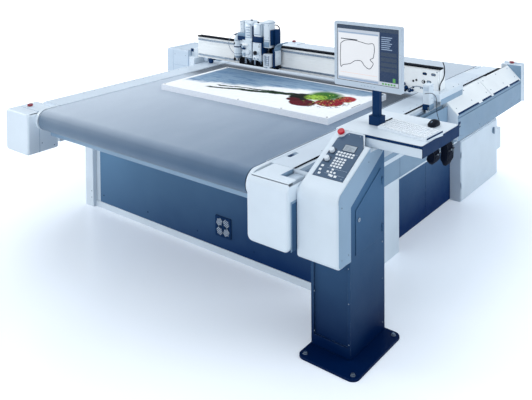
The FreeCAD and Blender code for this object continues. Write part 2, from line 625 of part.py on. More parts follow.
def shelf():
    """Shelf beside and behind the console: white top, navy edge and a white body below."""
    low, high = SHELF_TOP - 64, SHELF_TOP - 2
    tray = box(TRAY_X0, SHELF_Y0, SHELF_TOP - 16, SHELF_X1, SHELF_Y1, high)
    tray = rounded(tray, 5, lambda m, d: is_z(d) and m.x > 1700)
    side = box(SHELF_X1 - 4, SHELF_Y0 + 5, low, SHELF_X1, SHELF_Y1 - 5, SHELF_TOP - 15)
    save("shelf_tray", tray.fuse(side))
    top = box(SHELF_X0 + 2, SHELF_Y0 + 2, high, SHELF_X1 - 4, SHELF_Y1 - 4, SHELF_TOP)
    save("shelf_top", rounded(top, 12, lambda m, d: is_z(d)))
    left = box(SHELF_X0, SHELF_Y0, SHELF_TOP - 22, TRAY_X0, SHELF_Y1, high)
    left = rounded(left, 12, lambda m, d: is_z(d) and m.x < 1300)
    body = box(TRAY_X0 + 2, SHELF_Y0 + 4, low, SHELF_X1 - 4, SHELF_Y1 - 5, SHELF_TOP - 16)
    body = body.cut(box(TRAY_X0 + 12, SHELF_Y0 + 14, low + 10, SHELF_X1 - 14, SHELF_Y1 - 15, SHELF_TOP - 26))
    arm = box(1290, 345.5, 930, 1470, 520, low)
    arm = arm.fuse(box(1290, 325.2, 930, 1470, 345.5, 1005))
    riser = box(1290, 400, low, TRAY_X0, 500, SHELF_TOP - 22)
    save("shelf_box", left, body, arm.fuse(riser))
    pouches = []
    for y, width, bottom in ((380, 92, 940), (548, 100, 884)):
        pouch = box(1706, y, bottom, 1756, y + width, low)
        pouches.append(rounded(pouch, 14, lambda m, d: m.z < bottom + 1))
    save("cutter_pouches", *pouches)


def keyboard_and_mouse():
    base = along_x([(-74, 0), (74, 0), (74, 24), (-74, 12)], -160, 160)
    base = rounded(base, 3, lambda m, d: is_x(d) and m.z > 5)
    base.rotate(V(0, 0, 0), V(0, 0, 1), KEYBOARD_TURN)
    base.translate(V(KEYBOARD_X, KEYBOARD_Y, SHELF_TOP))
    save("keyboard", base)
    mouse = box(1625, 554, SHELF_TOP + 0.2, 1680, 650, SHELF_TOP + 34)
    mouse = rounded(mouse, 14, lambda m, d: m.z > SHELF_TOP + 30 or is_z(d))
    save("mouse", mouse)


def monitor():
    """Pole, swivelling neck, and the monitor on its tilt pin."""
    pole_top = PIVOT_Z - 12
    pole = box(POLE_X - 22, POLE_Y - 18, SHELF_TOP, POLE_X + 22, POLE_Y + 18, pole_top)
    pole = rounded(pole, 5, lambda m, d: is_z(d))
    block = box(POLE_X - 36, POLE_Y - 32, SHELF_TOP, POLE_X + 36, POLE_Y + 32, SHELF_TOP + 50)
    pole = pole.fuse(rounded(block, 5, lambda m, d: is_z(d)))
    pole = pole.cut(cyl(10 + RUN_GAP, 62, (POLE_X, POLE_Y, pole_top - 60)))
    save("monitor_pole", pole)

    seat = pole_top + 0.2
    tilt_y = MON_Y + 69
    neck = cyl(22, 24, (POLE_X, POLE_Y, seat)).fuse(cyl(10, 58, (POLE_X, POLE_Y, seat - 56.2)))
    neck = neck.fuse(box(POLE_X - 26, tilt_y + 23, seat, POLE_X + 26, POLE_Y, seat + 24))
    for x in (POLE_X - 26, POLE_X + 16):
        neck = neck.fuse(box(x, tilt_y - 9, seat + 0.8, x + 10, tilt_y + 25, seat + 23.8))
    neck = neck.fuse(cyl(6, 52, (POLE_X - 26, tilt_y, PIVOT_Z), (1, 0, 0)))
    save("monitor_neck", neck)

    x0, x1 = POLE_X - MON_W / 2, POLE_X + MON_W / 2
    shell = box(x0, MON_Y, MON_Z, x1, MON_Y + 26, MON_Z + MON_H)
    shell = rounded(shell, 9, lambda m, d: is_y(d))
    rear = box(x0 + 50, MON_Y + 26, MON_Z + 60, x1 - 50, MON_Y + 46, MON_Z + MON_H - 50)
    rear = rounded(rear, 12, lambda m, d: is_y(d))
    lug = box(POLE_X - 15, MON_Y + 46, PIVOT_Z - 12, POLE_X + 15, MON_Y + 80, PIVOT_Z + 12)
    lug = lug.cut(cyl(6 + RUN_GAP, 60, (POLE_X - 30, tilt_y, PIVOT_Z), (1, 0, 0)))
    window = box(x0 + 19, MON_Y - 1, MON_Z + 32, x1 - 19, MON_Y + 5, MON_Z + MON_H - 15)
    shell = shell.fuse([rear, lug]).cut(window)
    save("monitor_housing", shell)
    glass = box(x0 + 19.2, MON_Y + 1.5, MON_Z + 32.2, x1 - 19.2, MON_Y + 4.9, MON_Z + MON_H - 15.2)
    save("monitor_screen", glass)


def work_board():
    x0, y0, x1, y1, top = BOARD
    save("work_board", box(x0, y0, BELT_TOP, x1, y1, top))


def stop_buttons():
    """The mushroom buttons at the console, on the left end box and at both rear corners."""
    normal = FreeCAD.Rotation(V(1, 0, 0), SLOPE_ANGLE).multVec(V(0, 0, 1))
    stop_y = -62 + STOP_S * math.cos(math.radians(SLOPE_ANGLE))
    on_console = (STOP_X, stop_y, slope_z(stop_y))
    collars = [stop_button("console_stop", on_console, (normal.x, normal.y, normal.z))]
    for name, base in (("left_stop", (-1130, -120, 886)), ("rear_left_stop", (-1063, 3000, SIDE_TOP)),
                       ("rear_right_stop", (1236, 3058, 945))):
        collars.append(stop_button(name, base, (0, 0, 1)))
    save("stop_collars", *collars)


def build():
    belt()
    roller("front_roller", FRONT_ROLLER_Y)
    roller("rear_roller", REAR_ROLLER_Y)
    cheeks_and_guides()
    side_beams()
    vacuum_bed()
    cross_members()
    legs()
    navy_panels()
    fan()
    end_boxes()
    rails()
    rail_covers()
    side_duct()
    electrics_cabinet()
    gantry_beam()
    beam_rails()
    beam_ends()
    gantry_legs()
    carriage()
    for index in range(3):
        module(index)
    console_cover()
    control_panel()
    column()
    column_door()
    shelf()
    keyboard_and_mouse()
    monitor()
    work_board()
    stop_buttons()


build()
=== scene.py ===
"""Looks for the conveyor flatbed cutter: materials, fine detail, floor, light and camera.

Metres, in the CAD frame.  Places come from the CAD nodes' boxes.
"""

import math
import random

import bpy
import bmesh
from mathutils import Matrix, Vector


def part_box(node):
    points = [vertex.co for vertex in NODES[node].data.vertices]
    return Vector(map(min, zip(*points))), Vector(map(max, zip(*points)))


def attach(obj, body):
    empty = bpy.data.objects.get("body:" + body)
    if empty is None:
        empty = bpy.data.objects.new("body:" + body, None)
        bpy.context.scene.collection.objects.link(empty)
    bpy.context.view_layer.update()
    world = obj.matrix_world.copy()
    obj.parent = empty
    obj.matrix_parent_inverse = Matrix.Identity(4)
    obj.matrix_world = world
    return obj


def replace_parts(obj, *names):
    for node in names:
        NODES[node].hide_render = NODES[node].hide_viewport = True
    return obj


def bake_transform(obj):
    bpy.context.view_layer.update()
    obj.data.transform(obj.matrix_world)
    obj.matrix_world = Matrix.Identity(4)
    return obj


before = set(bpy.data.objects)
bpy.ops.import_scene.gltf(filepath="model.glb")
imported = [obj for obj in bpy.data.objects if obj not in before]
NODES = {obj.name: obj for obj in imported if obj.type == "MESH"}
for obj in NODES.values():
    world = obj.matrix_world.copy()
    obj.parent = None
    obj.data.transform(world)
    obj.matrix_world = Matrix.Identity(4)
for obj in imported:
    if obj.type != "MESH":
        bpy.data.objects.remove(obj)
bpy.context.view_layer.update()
random.seed(7)


# ---------------------------------------------------------------- colours and node helpers
def srgb(text):
    """A linear colour from a six-digit hex sRGB colour."""
    values = [int(text[i:i + 2], 16) / 255 for i in (0, 2, 4)]
    return [v / 12.92 if v <= 0.04045 else ((v + 0.055) / 1.055) ** 2.4 for v in values] + [1.0]


class Graph:
    """Short calls for building a material's node tree."""

    def __init__(self, name):
        self.material = bpy.data.materials.new(name)
        self.material.use_nodes = True
        self.tree = self.material.node_tree
        self.tree.nodes.clear()
        self.out = self.add("ShaderNodeOutputMaterial")
        self.shader = self.add("ShaderNodeBsdfPrincipled")
        self.link(self.shader.outputs[0], self.out.inputs[0])
        self.place = self.add("ShaderNodeTexCoord").outputs["Object"]

    def add(self, kind, **settings):
        node = self.tree.nodes.new(kind)
        for key, value in settings.items():
            setattr(node, key, value)
        return node

    def link(self, a, b):
        self.tree.links.new(a, b)

    def feed(self, socket, value):
        if hasattr(value, "is_linked"):
            self.link(value, socket)
        else:
            socket.default_value = value

    def mapping(self, scale):
        node = self.add("ShaderNodeMapping")
        self.link(self.place, node.inputs["Vector"])
        node.inputs["Scale"].default_value = scale
        return node.outputs[0]

    def noise(self, scale, detail=4.0, rough=0.55, stretch=None):
        node = self.add("ShaderNodeTexNoise")
        node.inputs["Scale"].default_value = scale
        node.inputs["Detail"].default_value = detail
        node.inputs["Roughness"].default_value = rough
        self.link(self.mapping(stretch) if stretch else self.place, node.inputs["Vector"])
        return node.outputs["Fac"]

    def span(self, value, a, b, low, high):
        node = self.add("ShaderNodeMapRange")
        self.feed(node.inputs["Value"], value)
        for key, number in (("From Min", a), ("From Max", b), ("To Min", low), ("To Max", high)):
            node.inputs[key].default_value = number
        return node.outputs[0]

    def math(self, operation, a, b=0.0, c=0.0):
        node = self.add("ShaderNodeMath", operation=operation)
        self.feed(node.inputs[0], a)
        self.feed(node.inputs[1], b)
        self.feed(node.inputs[2], c)
        return node.outputs[0]

    def mix(self, factor, a, b):
        node = self.add("ShaderNodeMix", data_type="RGBA")
        self.feed(node.inputs[0], factor)
        self.feed(node.inputs[6], a)
        self.feed(node.inputs[7], b)
        return node.outputs[2]

    def xyz(self):
        node = self.add("ShaderNodeSeparateXYZ")
        self.link(self.place, node.inputs[0])
        return node.outputs

    def bump(self, height, distance, strength=1.0, normal=None):
        node = self.add("ShaderNodeBump")
        node.inputs["Distance"].default_value = distance
        node.inputs["Strength"].default_value = strength
        self.link(height, node.inputs["Height"])
        if normal:
            self.link(normal, node.inputs["Normal"])
        return node.outputs[0]

    def edges(self, radius):
        """A rounded-edge normal, and a mask that is 1 along the edges."""
        soft = self.add("ShaderNodeBevel", samples=4)
        soft.inputs["Radius"].default_value = radius
        true = self.add("ShaderNodeNewGeometry").outputs["Normal"]
        dot = self.add("ShaderNodeVectorMath", operation="DOT_PRODUCT")
        self.link(soft.outputs[0], dot.inputs[0])
        self.link(true, dot.inputs[1])
        return soft.outputs[0], self.span(dot.outputs["Value"], 0.99, 0.80, 0.0, 1.0)


def coated(name, color, rough=0.38, metallic=0.0, grain=900, depth=0.00012, worn=None, edge=0.0025,
           spread=0.05, coat=0.0, brushed=None, shine=0.5):
    """Paint, moulded plastic or metal: colour drift, uneven gloss, fine bump and worn edges."""
    g = Graph(name)
    base = srgb(color)
    dark = [c * (1 - spread) for c in base[:3]] + [1]
    light = [min(1, c * (1 + spread)) for c in base[:3]] + [1]
    drift = g.span(g.noise(3.2, 5), 0.3, 0.7, 0.0, 1.0)
    tone = g.mix(drift, dark, light)
    normal, mask = g.edges(edge)
    breakup = g.span(g.noise(60, 6), 0.42, 0.62, 0.0, 1.0)
    wear = g.math("MULTIPLY", g.math("MULTIPLY", mask, breakup), 0.55)
    tone = g.mix(wear, tone, srgb(worn) if worn else light)
    g.link(tone, g.shader.inputs["Base Color"])
    smudge = g.span(g.noise(9, 7, 0.65), 0.3, 0.7, rough - 0.06, rough + 0.08)
    g.link(g.math("ADD", smudge, g.math("MULTIPLY", mask, 0.05)), g.shader.inputs["Roughness"])
    g.shader.inputs["Metallic"].default_value = metallic
    g.shader.inputs["Specular IOR Level"].default_value = shine
    g.shader.inputs["Coat Weight"].default_value = coat
    g.shader.inputs["Coat Roughness"].default_value = 0.2
    fine = g.noise(grain, 3, 0.6, brushed)
    g.link(g.bump(fine, depth, 0.6, normal), g.shader.inputs["Normal"])
    return g.material


def felt(name):
    """The belt: short grey-blue fibres, with painted light in the colour: pale where it faces up, dark on the
    roller's front, lighter to the left, a painted shadow band in front of the beam and a painted highlight
    beyond it.
    """
    g = Graph(name)
    fibre = g.noise(1400, 6, 0.75, (1.0, 0.35, 1.0))
    fleck = g.noise(330, 5, 0.7, (1.0, 0.6, 0.6))
    cloud = g.noise(4, 4, 0.5, (1.6, 0.5, 1.0))
    x, y, _ = g.xyz()
    # Painted sheen: lighter to the left and darker to the right, broken up by a slow cloud noise.
    across = g.span(g.math("ADD", x, g.math("MULTIPLY", cloud, 0.5)), -0.9, 1.25, 0, 1)
    normal = g.add("ShaderNodeNewGeometry").outputs["Normal"]
    split = g.add("ShaderNodeSeparateXYZ")
    g.link(normal, split.inputs[0])
    # Painted light: the colour follows the surface normal, pale where the belt faces up, dark on the roller's
    # front and lighter on its underside.
    flat = g.span(split.outputs[2], 0.55, 1.0, 0, 1)
    under = g.span(split.outputs[2], 0.0, -0.9, 0, 0.55)
    top = g.mix(across, srgb("c5d1df"), srgb("5e7894"))
    roll = g.mix(across, srgb("6c8299"), srgb("315475"))
    roll = g.mix(under, roll, srgb("7a92aa"))
    # Painted shadow: a dark band between the board's back edge and the beam, fixed to the belt so it stays when
    # the gantry moves.
    shaded = g.math("MULTIPLY", g.span(y, -0.26, -0.06, 0, 0.93), g.span(y, 0.33, 0.30, 0, 1))
    top = g.mix(shaded, top, srgb("1d3247"))
    # Painted highlight: the belt beyond the beam is painted paler.
    top = g.mix(g.span(y, 0.33, 0.36, 0, 0.7), top, srgb("d5dfe9"))
    tone = g.mix(flat, roll, top)
    tone = g.mix(g.span(fleck, 0.36, 0.64, 0, 0.16), tone, srgb("3b5067"))
    tone = g.mix(g.span(fibre, 0.56, 0.8, 0, 0.35), tone, srgb("b9c7d7"))
    g.link(tone, g.shader.inputs["Base Color"])
    g.link(g.span(fleck, 0.3, 0.7, 0.42, 0.62), g.shader.inputs["Roughness"])
    g.shader.inputs["Sheen Weight"].default_value = 0.15
    g.shader.inputs["Sheen Roughness"].default_value = 0.5
    g.shader.inputs["Specular IOR Level"].default_value = 0.5
    g.link(g.bump(g.math("ADD", fibre, fleck), 0.0008, 0.8), g.shader.inputs["Normal"])
    return g.material


def navy_paint(name, low, high, painted_light_left=0.0):
    """Dark satin paint with painted light: its colour turns lighter towards its top, and can also turn lighter
    towards the left.
    """
    g = Graph(name)
    x, _, z = g.xyz()
    drift = g.math("MULTIPLY", g.math("SUBTRACT", g.noise(2.4, 5), 0.5), 0.22)
    # Painted light: the colour runs from low to high with height.
    height = g.math("ADD", g.span(z, 0.0, 0.95, 0, 1), drift)
    # Painted light: optionally lighter towards the left.
    if painted_light_left:
        height = g.math("ADD", height, g.span(x, 0.45, -1.1, 0, painted_light_left))
    tone = g.mix(g.span(height, 0.05, 0.95, 0, 1), srgb(low), srgb(high))
    normal, mask = g.edges(0.0025)
    wear = g.math("MULTIPLY", mask, g.span(g.noise(70, 6), 0.45, 0.62, 0, 0.6))
    tone = g.mix(wear, tone, srgb("7d97b3"))
    speck = g.span(g.noise(900, 3), 0.62, 0.75, 0, 0.08)
    tone = g.mix(speck, tone, srgb("5f7a97"))
    g.link(tone, g.shader.inputs["Base Color"])
    g.link(g.span(g.noise(9, 6, 0.65), 0.3, 0.7, 0.36, 0.5), g.shader.inputs["Roughness"])
    g.shader.inputs["Specular IOR Level"].default_value = 0.07
    g.link(g.bump(g.noise(1300, 3), 0.0002, 0.6, normal), g.shader.inputs["Normal"])
    return g.material


def glow(name, color, strength, lines=0.0):
    """A lit part of a screen, with the faint grid of its pixels."""
    g = Graph(name)
    grid = g.noise(1800, 1)
    tone = g.mix(g.span(grid, 0.4, 0.6, 0, 0.12), srgb(color), [0.8, 0.85, 0.95, 1])
    g.link(tone, g.shader.inputs["Emission Color"])
    g.shader.inputs["Emission Strength"].default_value = strength
    g.shader.inputs["Base Color"].default_value = [c * 0.3 for c in srgb(color)[:3]] + [1]
    g.link(g.span(g.noise(20, 3), 0.3, 0.7, 0.2, 0.35), g.shader.inputs["Roughness"])
    g.shader.inputs["Specular IOR Level"].default_value = 0.08
    return g.material


def printed_art(name, x0, y0, x1, y1):
    """A made-up print: a misty blue field, dark green stems and a red and green flower."""
    g = Graph(name)
    x, y, _ = g.xyz()
    u = g.span(x, x0, x1, 0, 1)
    v = g.span(y, y0, y1, 0, 1)
    warp = g.math("SUBTRACT", g.noise(7, 5), 0.5)
    fine = g.math("SUBTRACT", g.noise(26, 6), 0.5)

    def disc(cu, cv, ru, rv, soft, ripple=0.5):
        du = g.math("DIVIDE", g.math("SUBTRACT", u, cu), ru)
        dv = g.math("DIVIDE", g.math("SUBTRACT", v, cv), rv)
        r = g.math("ADD", g.math("MULTIPLY", du, du), g.math("MULTIPLY", dv, dv))
        r = g.math("ADD", r, g.math("MULTIPLY", fine, ripple))
        return g.span(r, 1.0 + soft, 1.0 - soft, 0, 1)

    def stem(c0, slope, curve, width, u0, u1):
        line = g.math("ADD", g.math("MULTIPLY", u, slope), c0)
        line = g.math("ADD", line, g.math("MULTIPLY", g.math("MULTIPLY", u, u), curve))
        line = g.math("ADD", line, g.math("MULTIPLY", warp, 0.12))
        far = g.math("ABSOLUTE", g.math("SUBTRACT", v, line))
        band = g.span(far, width, width * 0.6, 0, 1)
        start = g.span(u, u0, u0 + 0.03, 0, 1)
        end = g.span(u, u1, u1 - 0.03, 0, 1)
        return g.math("MULTIPLY", band, g.math("MULTIPLY", start, end))

    paper = g.mix(g.span(g.noise(30, 4), 0.3, 0.7, 0, 1), srgb("f1f3f6"), srgb("fafbfc"))
    streak = g.noise(9, 6, 0.7, (0.6, 3.4, 1.0))
    mist = g.mix(g.span(streak, 0.35, 0.66, 0, 1), srgb("4b7299"), srgb("b4cbdc"))
    border = g.math("ADD", g.math("MULTIPLY", u, 0.62), 0.22)
    border = g.math("ADD", border, g.math("MULTIPLY", warp, 0.25))
    field = g.span(g.math("SUBTRACT", v, border), 0.0, 0.07, 0, 1)
    field = g.math("MULTIPLY", field, g.span(u, 0.015, 0.03, 0, 1))
    field = g.math("MULTIPLY", field, g.span(v, 0.985, 0.965, 0, 1))
    color = g.mix(field, paper, mist)
    shade = g.math("MULTIPLY", g.span(streak, 0.5, 0.75, 0, 0.75), field)
    color = g.mix(shade, color, srgb("2d5279"))
    deep = g.math("MULTIPLY", g.span(g.math("SUBTRACT", v, border), 0.12, 0.45, 0, 0.45), field)
    color = g.mix(deep, color, srgb("4a7298"))
    for values in ((0.10, 0.52, -0.02, 0.030, 0.20, 0.84), (0.06, 0.72, -0.14, 0.024, 0.22, 0.80),
                   (0.00, 0.90, -0.24, 0.018, 0.28, 0.78), (0.24, 0.36, 0.02, 0.020, 0.22, 0.82),
                   (0.16, 0.30, 0.16, 0.014, 0.36, 0.80)):
        color = g.mix(stem(*values), color,
                      g.mix(g.span(fine, -0.2, 0.2, 0, 1), srgb("070c0a"), srgb("173d1e")))
    for values, tone in (
        ((0.77, 0.28, 0.066, 0.110, 0.12), "5c0a1c"), ((0.87, 0.42, 0.066, 0.125, 0.12), "8c1029"),
        ((0.71, 0.44, 0.060, 0.120, 0.2), "0a140c"), ((0.90, 0.60, 0.048, 0.105, 0.15), "a5232f"),
        ((0.79, 0.60, 0.080, 0.150, 0.5), "2f6a18"), ((0.77, 0.50, 0.050, 0.090, 0.5), "8fb83a"),
        ((0.70, 0.33, 0.034, 0.056, 0.2), "4a0716"),
    ):
        color = g.mix(disc(*values), color, srgb(tone))
    petals = g.math("MULTIPLY", disc(0.84, 0.44, 0.12, 0.24, 0.2),
                    g.span(g.noise(38, 6, 0.7), 0.53, 0.58, 0, 0.95))
    color = g.mix(petals, color, srgb("07100a"))
    bright = g.math("MULTIPLY", disc(0.84, 0.48, 0.11, 0.22, 0.2),
                    g.span(g.noise(47, 5, 0.6), 0.60, 0.64, 0, 0.9))
    color = g.mix(bright, color, srgb("c7d86a"))
    dots = None
    for cu, cv in ((0.012, 0.03), (0.985, 0.03), (0.985, 0.97), (0.012, 0.97), (0.5, 0.02), (0.75, 0.018)):
        dot = disc(cu, cv, 0.0045, 0.010, 0.1, 0.0)
        dots = dot if dots is None else g.math("MAXIMUM", dots, dot)
    color = g.mix(dots, color, [0.01, 0.01, 0.012, 1])
    g.link(color, g.shader.inputs["Base Color"])
    g.link(g.span(g.noise(14, 4), 0.3, 0.7, 0.55, 0.7), g.shader.inputs["Roughness"])
    g.shader.inputs["Specular IOR Level"].default_value = 0.12
    g.link(g.bump(g.noise(700, 3), 0.00008, 0.5), g.shader.inputs["Normal"])
    return g.material


def honeycomb(name):
    """The board's cut edge: layered white core."""
    g = Graph(name)
    _, _, z = g.xyz()
    layer = g.math("SINE", g.math("MULTIPLY", z, 1300))
    tone = g.mix(g.span(layer, -1, 1, 0, 0.35), srgb("eef1f6"), srgb("ccd5e2"))
    tone = g.mix(g.span(g.noise(240, 5), 0.45, 0.6, 0, 0.25), tone, srgb("b9c5d6"))
    g.link(tone, g.shader.inputs["Base Color"])
    g.link(g.span(g.noise(30), 0.3, 0.7, 0.5, 0.7), g.shader.inputs["Roughness"])
    g.link(g.bump(g.noise(420, 4), 0.0004, 0.6), g.shader.inputs["Normal"])
    return g.material


MAT = {
    # The belt's colour carries painted sheen, a painted shadow band and a painted highlight.
    "felt": felt("belt_felt"),
    "white": coated("white_powder_coat", "dbe6f0", 0.36, worn="f2f6fa", coat=0.12),
    "lid_white": coated("lid_white", "f4f8fb", 0.36, worn="fbfcfd", coat=0.1),
    "rail_white": coated("rail_white", "d3dfeb", 0.38, worn="f2f6fa", coat=0.1),
    # Navy paints carry painted light, lighter towards the top; the front panel is also lighter towards the
    # left.
    "navy": navy_paint("navy_powder_coat", "001a44", "4b7196"),
    "navy_front": navy_paint("navy_front_panel", "00285a", "6287a8", 0.6),
    "navy_deep": coated("navy_deep", "0a2f58", 0.5, worn="33557c", grain=1300, depth=0.0002, spread=0.14,
                        shine=0.12),
    "blue_grey": coated("blue_grey_coat", "7e9ab3", 0.36, worn="a9bfd2", coat=0.1, spread=0.08),
    "band": coated("console_band", "8ba7c0", 0.36, worn="b4c8da", coat=0.1, spread=0.06),
    "pale_blue": coated("pale_blue_cover", "c6d5e4", 0.34, worn="e2ebf3", coat=0.2),
    "silver": coated("anodised_silver", "f6f9fb", 0.4, 0.0, 700, 0.00006, "fbfcfd", 0.0015, 0.05, 0,
                     (0.03, 1.0, 1.0)),
    "module": coated("module_white", "dde7ef", 0.32, 0.15, 900, 0.00008, "f5f8fb", 0.0018, 0.06, 0.2),
    "silver_dark": coated("module_metal", "9fb2c4", 0.30, 0.6, 700, 0.00006, "e6edf4", 0.0015, 0.08, 0,
                          (1.0, 1.0, 0.05)),
    "steel": coated("ground_steel", "9ba9b8", 0.26, 0.9, 900, 0.00004, "d7e0e8", 0.0008, 0.08, 0,
                    (0.05, 0.05, 1.0)),
    "black": coated("black_moulding", "040c1a", 0.45, worn="2a3a4c", grain=1500, edge=0.001, spread=0.2,
                    shine=0.2),
    "black_strip": coated("black_anodised", "030a16", 0.6, 0.0, worn="20303f", edge=0.001, spread=0.2,
                          shine=0.08),
    "panel": coated("panel_film", "3a5673", 0.34, worn="5a7693", grain=2200, depth=0.00005, edge=0.001,
                    spread=0.08),
    "white_plastic": coated("white_moulding", "dfe8f0", 0.4, worn="f5f8fb", grain=1800, depth=0.0001,
                            edge=0.0012),
    "key": coated("key_caps", "edf2f7", 0.42, worn="ffffff", grain=2200, depth=0.00008, edge=0.0008),
    "red": coated("red_button", "c4142a", 0.26, worn="e0505c", edge=0.001, coat=0.4),
    "dull_red": coated("small_red_button", "8a2f3c", 0.34, worn="b0606a", edge=0.001, coat=0.2),
    "bezel": coated("monitor_bezel", "c3d0dd", 0.3, 0.1, worn="eef3f7", grain=2000, depth=0.00006, edge=0.001,
                    coat=0.2),
    "pouch": coated("pouch_rubber", "040c1e", 0.65, worn="16243c", grain=500, depth=0.0006, edge=0.003,
                    spread=0.2, shine=0.12),
    "core": honeycomb("board_core"),
    "roller": coated("turned_roller", "aeb9c6", 0.3, 0.8, 900, 0.00005, "dfe7ee", 0.001, 0.05, 0,
                     (1.0, 0.02, 0.02)),
    "rubber": coated("cable_rubber", "0a1424", 0.5, worn="1f2d40", grain=1200, edge=0.0006, spread=0.15),
    "grey_hose": coated("grey_hose", "6f8196", 0.45, worn="94a5b8", grain=1200, edge=0.0006),
}

NODE_MATERIAL = {
    "felt": "conveyor_belt",
    "roller": "front_roller rear_roller",
    "band": "cross_members",
    "white": "side_beams legs end_boxes cabinet_body cabinet_door cheeks_and_guides "
             "console_cover shelf_box gantry_legs",
    "lid_white": "side_duct_lids",
    "rail_white": "rail_covers",
    "navy": "column column_door",
    "navy_front": "navy_panels",
    "navy_deep": "fan_frame fan_rotor monitor_pole monitor_neck shelf_tray",
    "blue_grey": "side_duct",
    "pale_blue": "drive_housing_left",
    "silver": "vacuum_bed gantry_beam beam_end_plates",
    "module": "module_1_body module_2_body module_3_body",
    "silver_dark": "gantry_rails",
    "steel": "beam_rails rail_blocks carriage_guides cabinet_lock column_lock module_1_tool "
             "module_2_tool module_3_tool",
    "black": "mouse",
    "black_strip": "beam_top_strip carriage_plate",
    "white_plastic": "pointer_camera speed_knob feed_knob keyboard shelf_top stop_collars",
    "panel": "control_panel",
    "key": "panel_keys",
    "bezel": "monitor_housing",
    "red": "console_stop",
    "dull_red": "left_stop rear_left_stop rear_right_stop",
    "pouch": "cutter_pouches",
    "core": "work_board",
}


def dress(node, material):
    mesh = NODES[node].data
    mesh.materials.clear()
    mesh.materials.append(material)
    for face in mesh.polygons:
        face.material_index = 0


for key, names in NODE_MATERIAL.items():
    for node in names.split():
        dress(node, MAT[key])
dress("monitor_screen", glow("screen_back", "dfe5ed", 0.7))
dress("panel_display", glow("display_back", "b9c8d6", 0.5))


# ---------------------------------------------------------------- mesh building
class Piece:
    """Collects rounded blocks, turned parts and tubes into one mesh."""

    def __init__(self, name, body, slot=None):
        self.name, self.body, self.slot = name, body, slot
        self.bm = bmesh.new()
        self.materials = []

    def index(self, key):
        material = MAT[key] if isinstance(key, str) else key
        if material not in self.materials:
            self.materials.append(material)
        return self.materials.index(material)

    def _take(self, bm, key, matrix):
        number = self.index(key)
        for face in bm.faces:
            face.material_index = number
            face.smooth = True
        if matrix is not None:
            bm.transform(matrix)
        mesh = bpy.data.meshes.new("part")
        bm.to_mesh(mesh)
        bm.free()
        self.bm.from_mesh(mesh)
        bpy.data.meshes.remove(mesh)

    def block(self, low, high, key, round_=0.001, matrix=None, segments=2):
        """A box with rounded edges."""
        size = [h - l for l, h in zip(low, high)]
        middle = [(h + l) / 2 for l, h in zip(low, high)]
        bm = bmesh.new()
        bmesh.ops.create_cube(bm, size=1)
        bm.transform(Matrix.Translation(middle) @ Matrix.Diagonal(size + [1]))
        radius = min(round_, min(size) * 0.45)
        bmesh.ops.bevel(bm, geom=bm.edges[:], offset=radius, segments=segments, affect="EDGES", profile=0.5)
        self._take(bm, key, matrix)
        return self

    def turned(self, base, axis, profile, key, sides=28):
        """A lathe part: profile is a list of (radius, height) pairs along axis from base."""
        bm = bmesh.new()
        rings = []
        for radius, height in profile:
            ring = []
            for i in range(sides):
                a = 2 * math.pi * i / sides
                r = max(radius, 1e-5)
                ring.append(bm.verts.new((r * math.cos(a), r * math.sin(a), height)))
            rings.append(ring)
        for low, high in zip(rings, rings[1:]):
            for i in range(sides):
                j = (i + 1) % sides
                bm.faces.new((low[i], low[j], high[j], high[i]))
        bm.faces.new(list(reversed(rings[0])))
        bm.faces.new(rings[-1])
        turn = Vector((0, 0, 1)).rotation_difference(Vector(axis)).to_matrix().to_4x4()
        self._take(bm, key, Matrix.Translation(base) @ turn)
        return self

    def screw(self, at, axis, radius=0.005):
        """A round-headed screw with a hex socket."""
        r = radius
        self.turned(at, axis, [(r, -0.001), (r, r * 0.35), (r * 0.85, r * 0.6), (r * 0.5, r * 0.62),
                               (r * 0.48, r * 0.2), (0.0, r * 0.2)], "steel", 18)
        return self

    def tube(self, points, radius, key, sides=10, steps=10):
        """A hose through the points, as a smooth swept tube."""
        path = smooth_path(points, steps)
        bm = bmesh.new()
        rings = []
        side = None
        for k, p in enumerate(path):
            ahead = path[min(k + 1, len(path) - 1)] - path[max(k - 1, 0)]
            ahead.normalize()
            if side is None:
                side = ahead.orthogonal().normalized()
            side = (side - ahead * side.dot(ahead)).normalized()
            other = ahead.cross(side)
            ring = [bm.verts.new(p + radius * (math.cos(t) * side + math.sin(t) * other))
                    for t in (2 * math.pi * i / sides for i in range(sides))]
            rings.append(ring)
        for low, high in zip(rings, rings[1:]):
            for i in range(sides):
                j = (i + 1) % sides
                bm.faces.new((low[i], low[j], high[j], high[i]))
        bm.faces.new(list(reversed(rings[0])))
        bm.faces.new(rings[-1])
        self._take(bm, key, None)
        return self

    def blocks(self, rows):
        """Rounded blocks placed from the front datum: low corner, high corner, material, rounding."""
        for x0, y0, z0, x1, y1, z1, key, round_ in rows:
            self.block(at(x0, y0, z0), at(x1, y1, z1), key, round_)

    def done(self):
        mesh = bpy.data.meshes.new(self.name)
        self.bm.normal_update()
        self.bm.to_mesh(mesh)
        self.bm.free()
        for material in self.materials:
            mesh.materials.append(material)
        obj = bpy.data.objects.new(self.name, mesh)
        bpy.context.collection.objects.link(obj)
        mesh.set_sharp_from_angle(angle=math.radians(35))
        if self.body:
            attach(obj, self.body)
        return obj


def smooth_path(points, steps):
    """A Catmull-Rom line through the points."""
    pts = [Vector(p) for p in points]
    pts = [pts[0] * 2 - pts[1]] + pts + [pts[-1] * 2 - pts[-2]]
    out = []
    for a, b, c, d in zip(pts, pts[1:], pts[2:], pts[3:]):
        for i in range(steps):
            t = i / steps
            out.append(0.5 * ((2 * b) + (c - a) * t + (2 * a - 5 * b + 4 * c - d) * t * t
                              + (3 * b - a - 3 * c + d) * t ** 3))
    out.append(pts[-2])
    return out


def y_of(value):
    """A depth from the front datum, in the frame."""
    return value - 1.45


def at(x, y, z):
    """A place measured from the front datum, in metres."""
    return (x, y_of(y), z)


